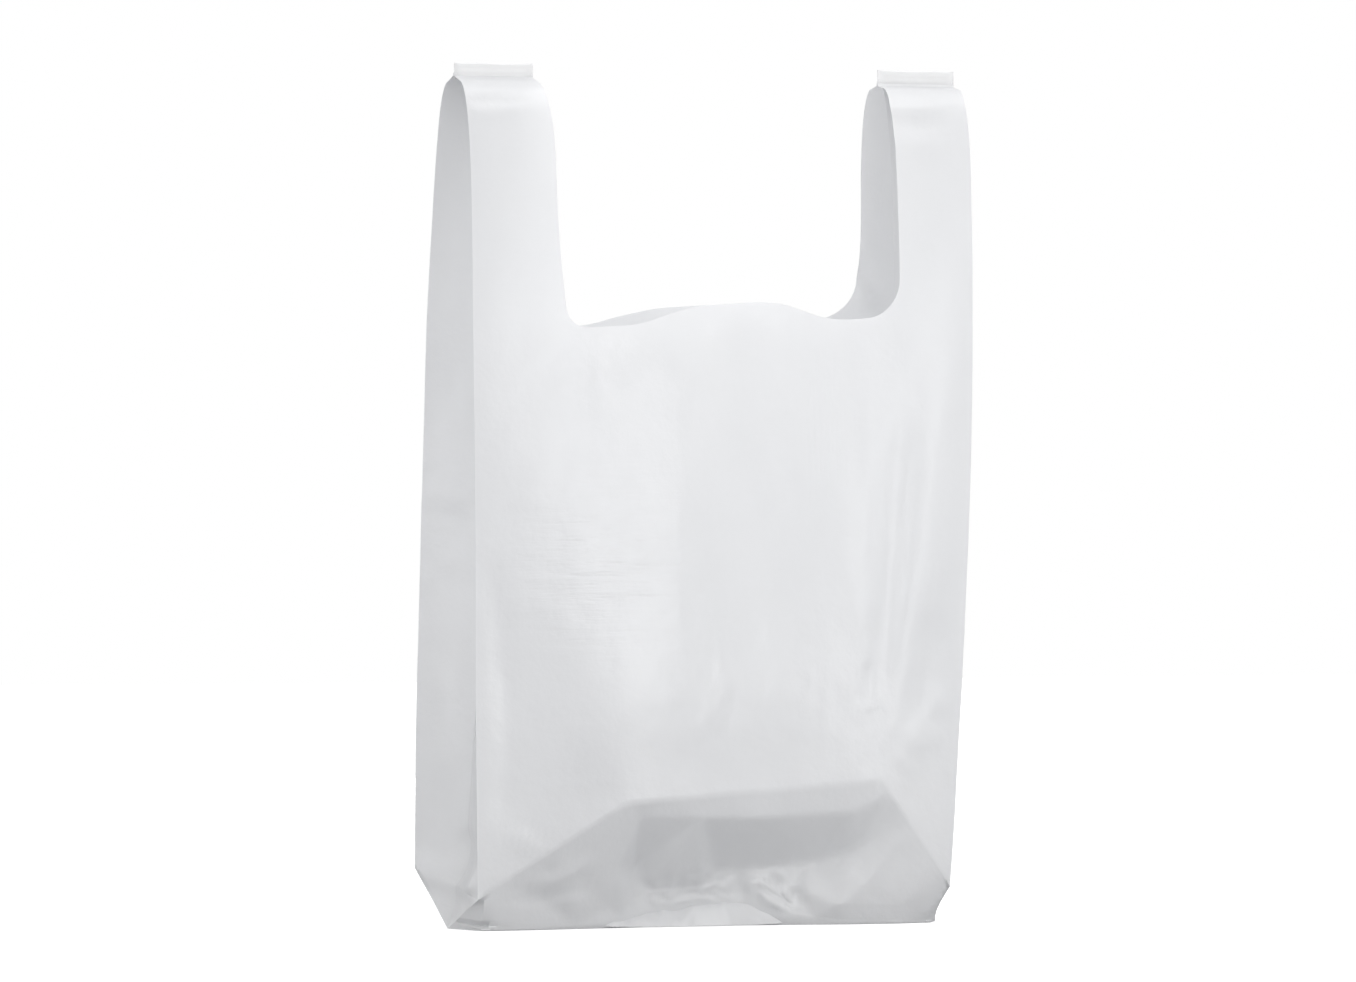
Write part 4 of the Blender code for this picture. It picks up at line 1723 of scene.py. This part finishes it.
FRONT_FOLD = BaseFold(
    lip=((-0.1494, 0.0300, 0.0006), (-0.147, 0.0375, 0.0006), (-0.143, 0.0395, 0.0007),
         (-0.130, 0.0395, 0.0008), (-0.112, 0.0380, 0.0012), (-0.073, 0.0325, 0.0035),
         (-0.042, 0.028, 0.009), (-0.008, 0.027, 0.012), (0.016, 0.027, 0.012),
         (0.0436, 0.0330, 0.0055), (0.0706, 0.0390, 0.0025), (0.1015, 0.0405, 0.0014),
         (0.125, 0.0345, 0.0009), (0.137, 0.0165, 0.0007)),
    knee=((-0.138, 0.0245, 0.0088), (-0.110, 0.0285, 0.0095), (-0.070, 0.0325, 0.0105),
          (-0.048, 0.029, 0.026), (0.022, 0.0285, 0.030), (0.040, 0.034, 0.013),
          (0.097, 0.035, 0.0105), (0.130, 0.029, 0.0105)),
    floor=((-0.150, 0.0), (-0.1494, 0.0290), (-0.147, 0.0368), (-0.143, 0.0389),
           (-0.130, 0.0390), (-0.112, 0.0375), (-0.073, 0.0316), (-0.042, 0.0255),
           (0.016, 0.0250), (0.0436, 0.0320), (0.0706, 0.0383), (0.1015, 0.0399),
           (0.125, 0.0339), (0.137, 0.0157), (0.1415, 0.0)),
    corners=(
        FoldCorner(-59.1, 52.0, 61.4), FoldCorner(-22.7, 53.0, 59.7), FoldCorner(11.5, 53.0, 59.2),
        FoldCorner(69.0, 51.0, 61.4), FoldCorner(-1.2, 26.0, 30.7), FoldCorner(55.6, 30.0, 35.1),
        FoldCorner(-52.0, 30.0, 34.0), FoldCorner(-66.0, 41.0, 34.0), FoldCorner(-71.0, 33.0, 11.5),
        FoldCorner(-113.2, 40.0, 18.6), FoldCorner(-43.0, 28.0, 20.8), FoldCorner(-11.6, 27.5, 21.9),
        FoldCorner(15.8, 27.0, 21.9), FoldCorner(41.2, 31.0, 21.9), FoldCorner(32.2, 32.0, 11.0),
        FoldCorner(86.4, 44.0, 28.5), FoldCorner(65.9, 41.0, 11.5), FoldCorner(104.7, 43.0, 11.5),
        FoldCorner(75.6, 37.0, 40.5), FoldCorner(-147.2, 40.5, 6.0), FoldCorner(-147.2, 43.0, 13.0)),
    folds=((0, 1), (1, 2), (2, 3), (2, 4), (4, 5), (5, 3), (5, 13), (13, 14), (0, 6), (7, 8),
           (15, 16), (16, 17), (18, 15)),
)

BACK_FOLD = BaseFold(
    lip=((-0.143, 0.0105, 0.0010), (-0.130, 0.0175, 0.0016), (-0.100, 0.0230, 0.003),
         (-0.050, 0.0265, 0.009), (0.050, 0.0265, 0.009), (0.100, 0.0230, 0.003),
         (0.130, 0.0150, 0.0014)),
    knee=((-0.100, 0.030, 0.014), (-0.050, 0.032, 0.026), (0.050, 0.033, 0.026),
          (0.100, 0.031, 0.013)),
    floor=((-0.150, 0.0), (-0.143, 0.009), (-0.130, 0.016), (-0.100, 0.021), (-0.050, 0.024),
           (0.050, 0.024), (0.100, 0.021), (0.130, 0.013), (0.1415, 0.0)),
    corners=(
        FoldCorner(-60.0, 48.0, 58.0), FoldCorner(0.0, 50.0, 57.0), FoldCorner(60.0, 47.0, 60.0),
        FoldCorner(-74.0, 38.0, 27.0), FoldCorner(-24.0, 28.0, 30.0), FoldCorner(30.0, 30.0, 27.0),
        FoldCorner(82.0, 38.0, 28.0), FoldCorner(-112.0, 35.0, 16.0), FoldCorner(106.0, 33.0, 15.0)),
    folds=((0, 1), (1, 2), (0, 3), (1, 4), (4, 5), (2, 6)),
)

LAMPS: Tuple[SoftLamp, ...] = (
    SoftLamp("overhead", 30.0, 56.0, 3.0, 1.6, 1.6, 22.0),
    SoftLamp("sheen", 12.7, 5.5, 1.03, 0.24, 0.35, 1.22),
    SoftLamp("right sheen", 42.0, 5.5, 1.22, 0.26, 0.35, 0.85),
    SoftLamp("left fill", -90.0, 10.0, 3.0, 1.2, 1.6, 10.0),
    SoftLamp("back fill", 165.0, 8.0, 3.0, 1.6, 1.6, 20.0),
)


@dataclass
class CarrierBag:
    """The whole bag: film, welded tabs and finish."""

    sizes: BagSizes = field(default_factory=BagSizes)
    grid: Grid = field(default_factory=Grid)
    plane: ViewPlane = field(default_factory=ViewPlane)
    pieces: List[bpy.types.Object] = field(default_factory=list)

    def build_film(self, form: FilmForm) -> bpy.types.Object:
        """Shape, crease and close the film.

        Args:
            form: shape of the bag.

        Returns:
            The film.
        """
        halves = form.build()
        creases = (*FRONT_CREASES, *STRAP_CREASES, *BASE_CREASES, *GUSSET_CREASES, *BACK_CREASES)
        relief = FilmRelief(self.grid, self.plane, creases, CRUMPLES)
        # painted shade: areas where the film's colour is darkened to stand in for shade
        stretch = relief.stretch(halves, PAINTED_SHADE_AREAS)
        relief.apply(halves)
        return FilmShell(self.sizes, self.grid).build(halves, stretch, "carrier_film")

    def build(self) -> None:
        """Build every piece and hand it to the frame."""
        folds = {Half.FRONT: FRONT_FOLD, Half.BACK: BACK_FOLD}
        form = FilmForm(self.sizes, self.grid, folds)
        self.pieces.append(self.build_film(form))
        for side in Side:
            tab = WeldedTab(TabSizes(), form, side)
            self.pieces.append(tab.build(f"{side.name.lower()}_welded_tab"))
        self.pieces.append(WeldFlange(FlangeSizes()).build("bottom_weld_flange"))
        finish = WhiteFilm().build("white_film_skin")
        # the fused tabs' greyer colour is painted shade
        fused = WhiteFilm(base=FUSED_SHADED_WHITE, shade=FUSED_SHADED_WHITE, through=FUSED_THROUGH).build(
            "fused_film_shaded_skin")
        for piece in self.pieces:
            piece.data.materials.append(fused if piece.name.endswith("tab") else finish)
            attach(piece, "root")
            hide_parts("bag_film")
        log.info("carrier bag: %d pieces", len(self.pieces))


def main() -> None:
    """Build the bag and its studio."""
    bag = CarrierBag()
    bag.build()
    Studio(lamps=LAMPS).build(bag.plane)


if __name__ == "__main__":
    main()
